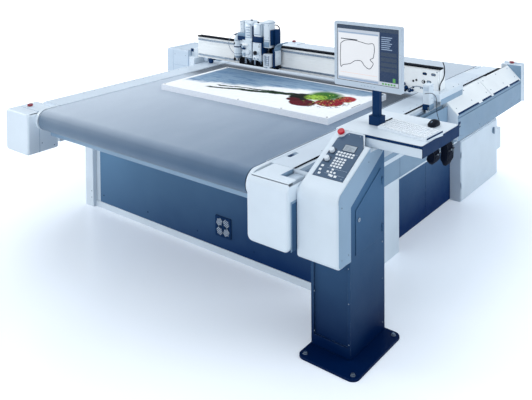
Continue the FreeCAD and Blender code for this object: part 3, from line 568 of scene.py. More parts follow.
FRONT, UP, RIGHT, LEFT = (0, -1, 0), (0, 0, 1), (1, 0, 0), (-1, 0, 0)


# ---------------------------------------------------------------- board print
(bx0, by0, bz0), (bx1, by1, bz1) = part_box("work_board")
art = Piece("board_print", "workpiece", "board")
art.block((bx0 + 0.001, by0 + 0.001, bz1 - 0.0002), (bx1 - 0.001, by1 - 0.001, bz1 + 0.0006),
          printed_art("printed_art", bx0, by0, bx1, by1), 0.0002)
for y in (by0 + 0.30, by0 + 0.62):
    art.block((bx1 - 0.012, y, bz1 + 0.0004), (bx1 - 0.006, y + 0.12, bz1 + 0.0009), "black", 0.0002)
art.done()


# ---------------------------------------------------------------- monitor
(sx0, sy0, sz0), (sx1, sy1, sz1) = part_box("monitor_screen")


def screen_rect(piece, u0, v0, u1, v1, key, lift=0.0004):
    """A lit rectangle on the screen, in fractions of its width and height."""
    w, h = sx1 - sx0, sz1 - sz0
    piece.block((sx0 + u0 * w, sy0 - lift, sz0 + v0 * h), (sx0 + u1 * w, sy0 + 0.0002, sz0 + v1 * h), key,
                0.0002)


ui = Piece("screen_picture", "monitor", "screen")
UI = {
    "bar": glow("screen_bar", "33465e", 0.6), "side": glow("screen_side", "1d3a60", 0.55),
    "window": glow("screen_window", "eceff4", 0.72), "line": glow("screen_line", "26384e", 0.35),
    "tint": glow("screen_tint", "8ea4c0", 0.8), "warm": glow("screen_warm", "e2b8a8", 0.9),
    "green": glow("screen_green", "4f9a4a", 0.8), "base": glow("screen_base", "c4cedb", 0.7),
}
screen_rect(ui, 0.0, 0.0, 1.0, 1.0, UI["base"], 0.0003)
screen_rect(ui, 0.0, 0.93, 1.0, 1.0, UI["bar"], 0.0006)
screen_rect(ui, 0.70, 0.07, 1.0, 0.93, UI["side"], 0.0006)
screen_rect(ui, 0.02, 0.07, 0.68, 0.85, UI["window"], 0.0006)
screen_rect(ui, 0.02, 0.86, 0.68, 0.88, UI["tint"], 0.0008)
screen_rect(ui, 0.02, 0.02, 0.68, 0.05, UI["tint"], 0.0008)
screen_rect(ui, 0.06, 0.74, 0.34, 0.755, UI["line"], 0.0009)
screen_rect(ui, 0.05, 0.14, 0.66, 0.145, UI["warm"], 0.0009)
for k in range(7):
    screen_rect(ui, 0.73, 0.84 - 0.035 * k, 0.90 - 0.02 * (k % 3), 0.855 - 0.035 * k, UI["tint"], 0.0009)
for k in range(4):
    screen_rect(ui, 0.72, 0.52 - 0.09 * k, 0.97, 0.585 - 0.09 * k, UI["bar"], 0.0009)
for k in range(5):
    screen_rect(ui, 0.74 + 0.045 * k, 0.02, 0.77 + 0.045 * k, 0.05, UI["green"], 0.0009)
screen_rect(ui, 0.91, 0.08, 0.95, 0.15, UI["green"], 0.0009)


def screen_line(points, key, width=0.0036):
    w, h = sx1 - sx0, sz1 - sz0
    path = [(sx0 + u * w, sy0 - 0.0008, sz0 + v * h) for u, v in points]
    ui.tube(path, width / 2, key, 6, 6)


screen_line([(0.06, 0.66), (0.14, 0.72), (0.30, 0.735), (0.50, 0.70), (0.60, 0.71), (0.62, 0.60),
             (0.60, 0.46)], UI["line"])
screen_line([(0.60, 0.46), (0.55, 0.42), (0.60, 0.36), (0.54, 0.26), (0.46, 0.30), (0.40, 0.38),
             (0.30, 0.37), (0.22, 0.31), (0.10, 0.27), (0.06, 0.24), (0.05, 0.45), (0.06, 0.66)],
            UI["line"])
ui.done()

(hx0, hy0, hz0), (hx1, hy1, hz1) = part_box("monitor_housing")
trim = Piece("monitor_trim", "monitor", "black")
for k in range(5):
    x = (hx0 + hx1) / 2 - 0.04 + 0.02 * k
    trim.block((x, hy0 - 0.001, hz0 + 0.014), (x + 0.010, hy0 + 0.001, hz0 + 0.018), "silver_dark", 0.0008)
for k in range(16):
    x = (hx0 + hx1) / 2 - 0.15 + 0.02 * k
    trim.block((x, hy0 + 0.0445, hz1 - 0.10), (x + 0.010, hy0 + 0.0468, hz1 - 0.065), "black", 0.002)
edge = 0.0012
for low, high in (((sx0 - edge, sy0 - 0.0016, sz0 - edge), (sx1 + edge, sy0, sz0 + edge)),
                  ((sx0 - edge, sy0 - 0.0016, sz1 - edge), (sx1 + edge, sy0, sz1 + edge)),
                  ((sx0 - edge, sy0 - 0.0016, sz0), (sx0 + edge, sy0, sz1)),
                  ((sx1 - edge, sy0 - 0.0016, sz0), (sx1 + edge, sy0, sz1))):
    trim.block(low, high, "black", 0.0005)
trim.done()


# ---------------------------------------------------------------- console details
(kx0, ky0, kz0), (kx1, ky1, kz1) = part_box("keyboard")
caps = Piece("keyboard_keys", "table", "white_plastic")
tray = (Matrix.Translation(((kx0 + kx1) / 2, (ky0 + ky1) / 2, kz0))
        @ Matrix.Rotation(math.radians(-10), 4, "Z")
        @ Matrix.Translation((0, -0.074, 0.012)) @ Matrix.Rotation(math.atan2(0.012, 0.148), 4, "X"))
for row in range(6):
    y = 0.010 + row * 0.0225
    x = -0.153
    column = 0
    while x < 0.140:
        w = 0.0152
        if row == 0 and column == 3:
            w = 0.092
        elif column == 0:
            w = 0.021
        if x + w > 0.154:
            break
        caps.block((x, y, -0.001), (x + w, y + 0.0185, 0.0055), "key", 0.0018, tray)
        x += w + 0.0030
        column += 1
        if column == 13:
            x += 0.006
caps.block((0.1585, 0.004, -0.006), (0.1612, 0.146, 0.003), "navy_deep", 0.0008, tray)
caps.done()

(mx0, my0, mz0), (mx1, my1, mz1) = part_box("mouse")
mouse_middle = (mx0 + mx1) / 2
mouse_lead = Piece("mouse_lead", None, "black")
mouse_lead.tube([(mouse_middle, my1 + 0.003, mz0 + 0.010), (mouse_middle, my1 + 0.022, mz0 + 0.008),
                 (mx0 + 0.010, my1 + 0.030, mz0 + 0.05), (mx0 + 0.004, my1 + 0.034, mz0 + 0.13),
                 (mx0 - 0.02, my1 + 0.030, mz0 + 0.155), (mx0 - 0.06, my1 + 0.02, mz0 + 0.15)], 0.0018,
                "rubber")
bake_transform(mouse_lead.done())
cable = Piece("desk_cables", "table", "black")
(px0, py0, pz0), (px1, py1, pz1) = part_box("monitor_pole")
pole_mid = (px0 + px1) / 2
pole_back = (py0 + py1) / 2 + 0.018
cable.tube([(pole_mid, pole_back + 0.002, pz1 - 0.03), (pole_mid + 0.004, pole_back + 0.006, pz1 - 0.12),
            (pole_mid - 0.002, pole_back + 0.004, pz1 - 0.24),
            (pole_mid + 0.002, pole_back + 0.016, pz0 + 0.06),
            (pole_mid + 0.01, pole_back + 0.04, pz0 + 0.006),
            (pole_mid + 0.02, pole_back + 0.12, pz0 + 0.004)], 0.004, "rubber")
for z in (0.08, 0.18, 0.30):
    cable.block((pole_mid - 0.015, pole_back - 0.003, pz0 + z),
                (pole_mid + 0.015, pole_back + 0.012, pz0 + z + 0.006), "rubber", 0.0015)
cable.done()

pouches = Piece("pouch_bodies", "table", "pouch")
(ux0, uy0, uz0), (ux1, uy1, uz1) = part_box("cutter_pouches")


def pouch(y0, y1, z0, z1):
    """A soft hanging pouch: bulged front, gathered mouth, seams and a flap."""
    bm = bmesh.new()
    across, tall = 14, 18
    rows = []
    for k in range(tall + 1):
        t = k / tall
        ring = []
        for i in range(across * 2):
            a = 2 * math.pi * i / (across * 2)
            bulge = 0.5 + 0.5 * math.sin(math.pi * min(1, t * 1.15)) ** 0.6
            foot = min(1.0, (0.16 + t) * 2.6) ** 0.5
            c, d = math.cos(a), math.sin(a)
            c = math.copysign(abs(c) ** 0.55, c)
            d = math.copysign(abs(d) ** 0.55, d)
            y = (y0 + y1) / 2 + (y1 - y0) / 2 * c * (0.93 + 0.05 * math.sin(9 * t)) * foot
            x = (ux0 + ux1) / 2 + (ux1 - ux0) / 2 * d * bulge * foot + 0.0015 * math.sin(17 * t + 3 * a)
            ring.append(bm.verts.new((x, y, z0 + (z1 - z0) * t)))
        rows.append(ring)
    n = across * 2
    for low, high in zip(rows, rows[1:]):
        for i in range(n):
            j = (i + 1) % n
            bm.faces.new((low[i], low[j], high[j], high[i]))
    bm.faces.new(list(reversed(rows[0])))
    bm.faces.new(rows[-1])
    pouches._take(bm, "pouch", None)
    pouches.block((ux1 - 0.002, y0 + 0.010, z0 + 0.62 * (z1 - z0)),
                  (ux1 + 0.003, y1 - 0.010, z0 + 0.67 * (z1 - z0)), "rubber", 0.002)
    for y in (y0 + 0.012, y1 - 0.012):
        pouches.tube([(ux1 - 0.012, y, z1 - 0.004), (ux1 - 0.002, y, z0 + 0.7 * (z1 - z0)),
                      (ux1 - 0.006, y, z0 + 0.25 * (z1 - z0))], 0.0014, "rubber", 6, 5)
    pouches.turned((ux1 + 0.001, (y0 + y1) / 2, z0 + 0.645 * (z1 - z0)), RIGHT,
                   [(0.005, 0), (0.005, 0.002), (0.003, 0.003)], "steel", 16)


pouch(uy0, uy0 + 0.092, uz0 + 0.056, uz1)
pouch(uy1 - 0.100, uy1, uz0, uz1)
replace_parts(pouches.done(), "cutter_pouches")


def unit_sphere(across, tall):
    """A sphere of quads with triangles at its poles, always in the same order."""
    bm = bmesh.new()
    rings = []
    for k in range(1, tall):
        polar = math.pi * k / tall
        reach, height = math.sin(polar), math.cos(polar)
        turns = [2 * math.pi * i / across for i in range(across)]
        rings.append([bm.verts.new((reach * math.cos(turn), reach * math.sin(turn), height)) for turn in turns])
    top, bottom = bm.verts.new((0, 0, 1)), bm.verts.new((0, 0, -1))
    for i in range(across):
        j = (i + 1) % across
        bm.faces.new((top, rings[0][i], rings[0][j]))
        for upper, lower in zip(rings, rings[1:]):
            bm.faces.new((upper[i], lower[i], lower[j], upper[j]))
        bm.faces.new((bottom, rings[-1][j], rings[-1][i]))
    return bm


body = unit_sphere(32, 20)
for vert in body.verts:
    x, y, z = (round(value, 5) for value in vert.co)
    x = math.copysign(abs(x) ** 0.75, x)
    y = math.copysign(abs(y) ** 0.8, y)
    arch = 1.0 - 0.30 * max(0.0, -y) - 0.12 * max(0.0, y)
    waist = 1.0 - 0.10 * math.cos(2.2 * y)
    vert.co = (x * (mx1 - mx0) / 2 * waist, y * (my1 - my0) / 2, max(z, -0.25) * (mz1 - mz0) * 0.8 * arch)
shell = Piece("mouse_shell", "mouse", "black")
shell._take(body, "black", Matrix.Translation(((mx0 + mx1) / 2, (my0 + my1) / 2, mz0 + 0.0068)))
shell.block(((mx0 + mx1) / 2 - 0.0006, my0 + 0.010, mz0 + 0.018),
            ((mx0 + mx1) / 2 + 0.0006, my0 + 0.046, mz1 - 0.004), "grey_hose", 0.0003)
shell.turned(((mx0 + mx1) / 2 - 0.004, my0 + 0.026, mz1 - 0.013), RIGHT,
             [(0.006, 0), (0.0085, 0.001), (0.0085, 0.007), (0.006, 0.008)], "grey_hose")
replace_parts(shell.done(), "mouse")

side = Piece("console_side_band", "table", "white")
CONSOLE_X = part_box("console_cover")[1][0]
outline = [(-1.578, 0.524), (-1.586, 0.534), (-1.586, 0.860), (-1.572, 0.884), (-1.281, 1.0385),
           (-1.281, 1.0175), (-1.109, 1.0145), (-1.4760, 0.795), (-1.4760, 0.520)]
bm = bmesh.new()
low = [bm.verts.new((CONSOLE_X - 0.001, y, z)) for y, z in outline]
high = [bm.verts.new((CONSOLE_X + 0.0012, y, z)) for y, z in outline]
bm.faces.new(high)
bm.faces.new(list(reversed(low)))
for i in range(len(outline)):
    j = (i + 1) % len(outline)
    bm.faces.new((low[i], low[j], high[j], high[i]))
bmesh.ops.recalc_face_normals(bm, faces=bm.faces[:])
side._take(bm, "band", None)
for y, z in ((-1.560, 0.56), (-1.560, 0.82), (-1.500, 0.565), (-1.30, 0.975), (-1.17, 1.00)):
    side.screw((CONSOLE_X + 0.001, y, z), RIGHT, 0.0035)
side.done()

screws = Piece("console_screws", "table", "steel")
for z in (0.06, 0.30, 0.50):
    screws.screw((1.4955, -1.45 + 0.30, z), RIGHT, 0.004)
for x in (1.28, 1.562):
    for y in (-0.112, 0.300):
        screws.turned((x, y - 1.45, 0.012), UP, [(0.013, 0), (0.013, 0.002), (0.0125, 0.0025)], "steel", 28)
        screws.turned((x, y - 1.45, 0.0145), UP, [(0.010, 0), (0.010, 0.006), (0.0085, 0.0075)], "steel", 6)
for x in (1.285, 1.468):
    for z in (0.09, 0.30, 0.48):
        screws.screw((x - 0.008 if x < 1.3 else x + 0.018, -1.475, z), FRONT, 0.0035)
screws.done()

graphics = Piece("panel_printing", "table", "navy")
slope = math.atan2(0.212, 0.385)
lie = Matrix.Translation((0, -1.45 - 0.062, 0.868 + (0.145 - 0.062) * math.tan(slope))) @ Matrix.Rotation(
    slope, 4, "X")
UI_PALE = coated("panel_ink", "c9d6e6", 0.45, edge=0.0004)
UI_DARK = coated("panel_shadow", "1c3048", 0.4, edge=0.0004)
for s in (0.044, 0.080, 0.198):
    graphics.block((1.342, s, 0.0014), (1.458, s + 0.0008, 0.0020), UI_PALE, 0.0001, lie)
for x, s in ((1.309, 0.190), (1.310, 0.131)):
    graphics.block((x - 0.020, s - 0.020, 0.0014), (x + 0.020, s + 0.020, 0.0024), UI_DARK, 0.0012, lie)
    for k in range(11):
        a = math.radians(-130 + 26 * k)
        r = 0.0175
        graphics.block((x + r * math.sin(a) - 0.0006, s + r * math.cos(a) - 0.0006, 0.0022),
                       (x + r * math.sin(a) + 0.0006, s + r * math.cos(a) + 0.0006, 0.0028), UI_PALE,
                       0.0002, lie)
graphics.block((1.358, 0.204, 0.0014), (1.436, 0.252, 0.0030), UI_DARK, 0.001, lie)
for k in range(4):
    graphics.block((1.368, 0.214 + 0.008 * k, 0.0041),
                   (1.368 + (0.050, 0.042, 0.055, 0.030)[k], 0.2155 + 0.008 * k, 0.0045), UI_DARK, 0.0001,
                   lie)
for x, s in ((1.300, 0.028), (1.452, 0.028), (1.455, 0.268), (1.297, 0.272), (1.410, 0.322),
             (1.342, 0.322)):
    graphics.turned(lie @ Vector((x, s, 0.0012)), lie.to_3x3() @ Vector((0, 0, 1)),
                    [(0.0030, 0), (0.0030, 0.0008), (0.0015, 0.0012)], "steel", 14)
graphics.done()


# ---------------------------------------------------------------- tool head
def tool_module(number):
    """Fittings of one tool module: caps, clamp blocks, plugs, knob and screws."""
    (x0, y0, z0), (x1, y1, z1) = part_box("module_%d_body" % number)
    p = Piece("module_%d_fittings" % number, "module_%d" % number, "silver")
    axis = y_of(1.586)
    if number == 1:
        x, f = -0.625, y_of(1.552)
        for z, r, h in ((1.060, 0.0350, 0.006), (1.118, 0.0362, 0.010), (1.176, 0.0352, 0.006)):
            p.turned((x, axis, z), UP, [(r - 0.001, 0), (r, 0.001), (r, h - 0.001), (r - 0.001, h)],
                     "navy_deep" if h > 0.008 else "silver_dark")
        p.turned((x, axis, 1.205), UP,
                 [(0.026, 0), (0.026, 0.010), (0.018, 0.016), (0.010, 0.018), (0.010, 0.026)], "module")
        p.blocks([
            (-0.600, 1.548, 1.186, -0.512, 1.600, 1.222, "navy_deep", 0.004),
            (-0.602, 1.550, 1.222, -0.510, 1.606, 1.250, "blue_grey", 0.004),
            (-0.570, 1.585, 1.090, -0.546, 1.602, 1.150, "silver_dark", 0.003),
        ])
        p.turned(at(-0.640, 1.560, 1.148), (0, -0.6, 0.8),
                 [(0.006, -0.004), (0.009, 0.0), (0.0095, 0.006), (0.007, 0.011), (0.003, 0.013)],
                 "black", 20)
        p.block(at(-0.662, 1.575, 1.108), at(-0.640, 1.592, 1.124), "navy_deep", 0.003)
        p.turned(at(-0.653, 1.572, 0.998), UP,
                 [(0.007, 0), (0.011, 0.004), (0.012, 0.012), (0.009, 0.020), (0.005, 0.022),
                  (0.005, 0.060)], "black", 20)
        p.turned(at(-0.572, 1.5865, 1.120), FRONT,
                 [(0.012, -0.001), (0.014, 0.002), (0.014, 0.010), (0.010, 0.012)], "navy_deep", 20)
        for z in (1.20, 1.345):
            p.block(at(-0.5945, 1.571, z - 0.004), at(-0.5455, 1.637, z), "silver_dark", 0.001)
        for z in (1.28, 1.32):
            p.screw(at(-0.570, 1.572, z), FRONT, 0.003)
    if number == 2:
        f = y_of(1.535)
        p.blocks([
            (-0.512, 1.5465, 1.215, -0.444, 1.549, 1.335, "silver_dark", 0.001),
            (-0.506, 1.5445, 1.221, -0.450, 1.547, 1.329, "module", 0.002),
        ])
        p.block((-0.530, f - 0.010, 1.150), (-0.470, f + 0.001, 1.166), "silver", 0.003)
        p.block((-0.526, f - 0.016, 1.116), (-0.498, f + 0.001, 1.132), "navy_deep", 0.004)
        p.turned((-0.516, f - 0.013, 1.140), FRONT,
                 [(0.010, 0), (0.011, 0.002), (0.011, 0.008), (0.007, 0.010)], "silver_dark", 24)
        p.turned((-0.470, f + 0.001, 1.098), FRONT,
                 [(0.022, 0), (0.023, 0.002), (0.023, 0.010), (0.019, 0.014), (0.010, 0.015)], "module",
                 30)
        p.block((-0.538, f - 0.004, 1.060), (-0.500, f + 0.001, 1.088), "silver_dark", 0.002)
        p.block(at(-0.4345, 1.545, 1.060), at(-0.4315, 1.600, 1.320), "navy_deep", 0.001)
        p.turned(at(-0.456, 1.57, 1.361), UP,
                 [(0.008, 0), (0.009, 0.002), (0.009, 0.008), (0.006, 0.010)], "navy_deep", 20)
        for x in (-0.526, -0.446):
            for z in (1.064, 1.184):
                p.screw((x, f, z), FRONT, 0.0032)
        for k in range(4):
            p.block(at(-0.500, 1.543, 1.236 + 0.022 * k), at(-0.456, 1.5455, 1.244 + 0.022 * k),
                    "silver_dark", 0.0008)
    if number == 3:
        f = y_of(1.528)
        p.blocks([
            (-0.420, 1.540, 1.184, -0.330, 1.600, 1.236, "navy_deep", 0.004),
            (-0.416, 1.5445, 1.250, -0.343, 1.547, 1.340, "silver_dark", 0.001),
            (-0.411, 1.5425, 1.256, -0.348, 1.545, 1.334, "module", 0.002),
        ])
        p.turned((-0.373, f - 0.013, 1.104), FRONT,
                 [(0.017, 0), (0.018, 0.002), (0.018, 0.010), (0.013, 0.013), (0.006, 0.0135)], "black")
        p.turned((-0.346, f + 0.001, 1.158), FRONT,
                 [(0.008, -0.001), (0.0085, 0.001), (0.006, 0.0015), (0.006, 0.0003)], "black", 20)
        p.turned(at(-0.376, 1.560, 1.349), UP,
                 [(0.007, 0), (0.008, 0.002), (0.008, 0.010), (0.005, 0.012)], "black", 20)
        p.block((-0.412, f - 0.004, 1.046), (-0.338, f + 0.001, 1.070), "module", 0.003)
        p.turned((-0.392, f - 0.003, 1.058), FRONT, [(0.006, 0), (0.006, 0.003), (0.004, 0.004)], "steel",
                 20)
        p.turned((-0.356, f - 0.003, 1.054), FRONT, [(0.008, 0), (0.008, 0.002), (0.005, 0.003)],
                 "silver_dark", 20)
        p.blocks([
            (-0.331, 1.540, 1.085, -0.322, 1.620, 1.186, "navy_deep", 0.003),
            (-0.252, 1.560, 1.170, -0.2445, 1.630, 1.300, "navy_deep", 0.003),
            (-0.318, 1.553, 1.156, -0.258, 1.557, 1.200, "blue_grey", 0.003),
        ])
        for z in (1.215, 1.358):
            p.block(at(-0.3255, 1.5545, z - 0.005), at(-0.2515, 1.6375, z), "silver_dark", 0.0015)
        for x in (-0.410, -0.340):
            for z in (1.082, 1.176):
                p.screw((x, f, z), FRONT, 0.0032)
        for x in (-0.311, -0.266):
            for z in (1.235, 1.338):
                p.screw(at(x, 1.556, z), FRONT, 0.003)
    nose_x = {1: -0.625, 2: -0.483, 3: -0.372}[number]
    p.turned((nose_x, axis, 1.029), UP,
             [(0.026, 0), (0.031, 0.002), (0.034, 0.010), (0.030, 0.014), (0.030, 0.016)], "silver_dark")
    p.done()


for number in (1, 2, 3):
    tool_module(number)

head = Piece("head_fittings", "carriage", "navy")
hb = y_of(1.652)
for x in (-0.640, -0.535, -0.425, -0.330):
    head.turned((x, hb + 0.001, 1.240), FRONT,
                [(0.011, -0.002), (0.013, 0.002), (0.012, 0.006), (0.008, 0.007)], "black", 20)
head.blocks([
    (-0.672, 1.610, 1.060, -0.6665, 1.664, 1.220, "module", 0.003),
    (-0.700, 1.612, 1.030, -0.668, 1.655, 1.095, "module", 0.006),
    (-0.660, 1.655, 1.285, -0.260, 1.670, 1.298, "module", 0.004),
    (-0.244, 1.600, 1.145, -0.222, 1.664, 1.300, "navy_deep", 0.006),
])
for z in (1.02, 1.035, 1.05, 1.065):
    head.block(at(-0.304, 1.5650, z - 0.003), at(-0.266, 1.5665, z + 0.003), "silver_dark", 0.0006)
head.blocks([
    (-0.2615, 1.546, 1.000, -0.2585, 1.550, 1.086, "navy_deep", 0.0008),
    (-0.2435, 1.580, 0.985, -0.228, 1.650, 1.140, "navy_deep", 0.004),
])
head.turned(at(-0.285, 1.552, 0.981), UP, [(0.008, 0), (0.012, 0.003), (0.012, 0.010), (0.008, 0.012)],
            "silver_dark", 24)


def curved_guard():
    """The bent cable guard at the operator's side of the head."""
    bm = bmesh.new()
    steps = 16
    rows = []
    for k in range(steps + 1):
        a = math.radians(180 - 95 * k / steps)
        x = -0.155 + 0.078 * math.cos(a)
        z = 1.118 + 0.078 * math.sin(a)
        xi = -0.155 + 0.071 * math.cos(a)
        zi = 1.118 + 0.071 * math.sin(a)
        corners = (at(x, 1.585, z), at(x, 1.668, z), at(xi, 1.668, zi), at(xi, 1.585, zi))
        rows.append([bm.verts.new(v) for v in corners])
    for low, high in zip(rows, rows[1:]):
        for i in range(4):
            j = (i + 1) % 4
            bm.faces.new((low[i], high[i], high[j], low[j]))
    bm.faces.new(rows[0])
    bm.faces.new(list(reversed(rows[-1])))
    bmesh.ops.recalc_face_normals(bm, faces=bm.faces[:])
    head._take(bm, "blue_grey", None)


curved_guard()
head.block(at(-0.226, 1.590, 1.000), at(-0.216, 1.664, 1.122), "module", 0.002)
head.tube([at(-0.668, 1.640, 1.045), at(-0.710, 1.622, 1.050), at(-0.748, 1.608, 1.105),
           at(-0.742, 1.606, 1.170), at(-0.700, 1.610, 1.212), at(-0.655, 1.610, 1.226)], 0.0022,
          "grey_hose")
head.tube([at(-0.676, 1.602, 1.214), at(-0.655, 1.598, 1.226), at(-0.628, 1.598, 1.232),
           at(-0.602, 1.598, 1.230)], 0.0055, "navy_deep")
head.tube([at(-0.52, 1.660, 1.294), at(-0.50, 1.672, 1.315), at(-0.42, 1.682, 1.318),
           at(-0.36, 1.676, 1.294)], 0.005, "rubber")
head.tube([at(-0.300, 1.640, 1.294), at(-0.270, 1.655, 1.33), at(-0.235, 1.668, 1.30),
           at(-0.232, 1.670, 1.18)], 0.004, "rubber")
head.done()


# ---------------------------------------------------------------- gantry details
gantry = Piece("gantry_fittings", "gantry", "silver")
gx0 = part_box("gantry_beam")[0][0]
for k in range(17):
    x = gx0 + 0.10 + 0.115 * k
    for z in (0.973, 1.113):
        gantry.turned(at(x, 1.6763, z), FRONT, [(0.0045, 0), (0.0045, 0.00032), (0.003, 0.0002)],
                      "grey_hose", 14)
for x, z in ((0.990, 1.031), (1.015, 1.041), (0.990, 0.985), (1.078, 1.036)):
    gantry.turned(at(x, 1.681, z), FRONT,
                  [(0.0078, 0), (0.0078, 0.006), (0.006, 0.007), (0.0055, 0.002), (0.001, 0.002)],
                  "black", 24)
for x, z, core in ((1.080, 1.095, "navy_deep"), (1.148, 1.096, "grey_hose"), (1.113, 1.039, "silver_dark")):
    gantry.block(at(x - 0.0176, 1.6800, z - 0.0096), at(x + 0.0176, 1.6835, z + 0.0096), "black", 0.009)
    gantry.block(at(x - 0.0125, 1.6755, z - 0.0058), at(x + 0.0125, 1.6810, z + 0.0058), core, 0.0055)
gantry.turned(at(1.071, 1.677, 1.036), FRONT,
              [(0.013, -0.002), (0.014, 0.001), (0.010, 0.0015), (0.009, -0.001)], "black", 24)
for x in (1.048, 1.062, 1.078):
    gantry.block(at(x - 0.005, 1.6765, 0.981), at(x + 0.005, 1.6775, 0.993), "grey_hose", 0.001)
for x, z, r in ((0.935, 0.975, 0.015), (0.962, 0.958, 0.015), (0.918, 1.000, 0.011),
                (0.985, 0.962, 0.010), (0.925, 0.955, 0.012)):
    gantry.turned(at(x, 1.678, z), FRONT,
                  [(r, 0), (r, 0.010), (r * 0.85, 0.013), (r * 0.6, 0.014), (r * 0.6, 0.022),
                   (r * 0.4, 0.023)], "navy_deep", 20)
gantry.tube([at(0.915, 1.662, 1.004), at(0.895, 1.655, 1.010), at(0.885, 1.650, 0.975),
             at(0.905, 1.655, 0.955), at(0.945, 1.656, 0.962)], 0.005, "rubber")
gantry.tube([at(0.962, 1.655, 0.958), at(0.985, 1.650, 0.985), at(1.030, 1.660, 1.000),
             at(1.10, 1.668, 0.990)], 0.003, "grey_hose")
for x in (0.916, 1.176):
    for z in (0.964, 1.118):
        gantry.screw(at(x, 1.677, z), FRONT, 0.004)
gantry.tube([at(1.190, 1.748, 1.180), at(1.199, 1.750, 1.150), at(1.200, 1.752, 1.100),
             at(1.199, 1.735, 1.066), at(1.198, 1.700, 1.045), at(1.196, 1.684, 1.025),
             at(1.193, 1.680, 0.990)], 0.004, "rubber")
gantry.blocks([
    (1.1485, 1.4985, 0.908, 1.2005, 1.5750, 0.926, "navy_deep", 0.003),
    (1.1485, 1.4985, 0.884, 1.1900, 1.5600, 0.910, "navy_deep", 0.002),
    (1.1900, 1.5000, 0.884, 1.2015, 1.5745, 0.925, "blue_grey", 0.002),
    (1.2440, 1.591, 0.909, 1.2456, 1.969, 0.949, "band", 0.0006),
])
for y in (1.62, 1.86, 1.95):
    gantry.screw(at(1.222, y, 0.985), UP, 0.004)
gantry.block(at(1.158, 1.4985, 1.020), at(1.194, 1.500, 1.046), "pale_blue", 0.003)
for z in (0.965, 1.050):
    gantry.screw(at(1.2008, 1.54, z), RIGHT, 0.003)
gantry.turned(at(-1.045, 1.70, 0.925), FRONT,
              [(0.020, 0), (0.024, 0.003), (0.024, 0.018), (0.020, 0.022), (0.009, 0.023)], "navy_deep")
gantry.blocks([
    (-1.085, 1.70, 0.930, -1.010, 1.76, 0.9465, "navy_deep", 0.004),
    (-1.140, 1.70, 0.915, -1.095, 1.75, 0.9465, "pale_blue", 0.004),
    (-0.99, 1.70, 0.930, -0.95, 1.75, 0.9465, "silver_dark", 0.004),
])
(dx0, dy0, dz0), (dx1, dy1, dz1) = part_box("drive_housing_left")
gantry.block((dx0 + 0.085, dy0 - 0.0006, dz0 + 0.002), (dx0 + 0.087, dy0 + 0.004, dz1 - 0.010),
             "blue_grey", 0.0004)
gantry.block((dx0 + 0.085, dy0 + 0.004, dz1 - 0.003), (dx0 + 0.087, dy1 - 0.01, dz1 + 0.0006),
             "blue_grey", 0.0004)
gantry.turned((dx0 + 0.001, dy0 + 0.070, dz0 + 0.135), LEFT,
              [(0.030, 0), (0.030, 0.006), (0.022, 0.010), (0.022, 0.020), (0.026, 0.023), (0.024, 0.034),
               (0.010, 0.036)], "blue_grey")
gantry.block((dx0 + 0.10, dy0 - 0.0005, dz0 + 0.090), (dx1 - 0.02, dy0 + 0.003, dz0 + 0.092), "blue_grey",
             0.0004)
for z in (dz0 + 0.03, dz1 - 0.05):
    gantry.screw((dx0 + 0.11, dy0, z), FRONT, 0.004)
    gantry.screw((dx1 - 0.03, dy0, z), FRONT, 0.004)
gantry.blocks([
    (dx1 - 0.006, 1.684, 0.985, dx1 + 0.030, 1.692, 1.014, "navy_deep", 0.004),
    (dx1 - 0.004, 1.680, 0.900, dx1 + 0.040, 1.690, 0.912, "navy_deep", 0.003),
    (dx1 - 0.002, 1.684, 0.912, dx1 + 0.006, 1.690, 0.985, "silver_dark", 0.002),
])
gantry.done()


# ---------------------------------------------------------------- table details
table = Piece("table_fittings", "table", "steel")
inner = -0.976
for y, z in ((-0.130, 0.76), (-0.130, 0.66), (-0.03, 0.70), (-0.03, 0.62)):
    table.screw(at(inner, y, z), RIGHT, 0.004)
table.blocks([
    (inner - 0.002, -0.150, 0.594, inner + 0.0006, -0.1475, 0.884, "blue_grey", 0.0004),
    (-1.20, -0.150, 0.884, inner, -0.1475, 0.8866, "blue_grey", 0.0004),
    (1.2485, -0.180, 0.556, 1.2500, -0.004, 0.800, "navy", 0.0006),
    (1.2480, -0.186, 0.800, 1.2512, -0.002, 0.812, "blue_grey", 0.0012),
    (1.2480, -0.190, 0.556, 1.2506, -0.180, 0.812, "blue_grey", 0.0012),
])
table.turned(at(1.2400, -0.118, 0.808), UP,
             [(0.004, 0), (0.020, 0.003), (0.022, 0.008), (0.022, 0.050), (0.018, 0.060), (0.006, 0.064)],
             "white_plastic", 30)
table.blocks([
    (0.980, -0.0008, 0.9038, 1.124, 0.0010, 0.9042, "pale_blue", 0.0002),
    # Painted shadow: a blue-grey sheet on the recess wall beside the rail cover's right edge.
    (1.1300, -0.1165, 0.870, 1.1312, -0.002, 0.9036, "blue_grey", 0.0004),
    (1.2070, -0.1160, 0.842, 1.2425, -0.002, 0.846, "navy_deep", 0.0004),
    (1.144, -0.110, 0.8838, 1.204, -0.009, 0.8848, "pale_blue", 0.0004),
])
for k in range(24):
    y = 0.32 + 0.10 * k
    if y < 2.65:
        table.turned(at(1.095, y, 0.904), UP, [(0.0045, -0.001), (0.0045, 0.0004), (0.0028, 0.0006)],
                     "grey_hose", 14)
        table.turned(at(-1.095, y, 0.904), UP, [(0.0045, -0.001), (0.0045, 0.0004), (0.0028, 0.0006)],
                     "grey_hose", 14)
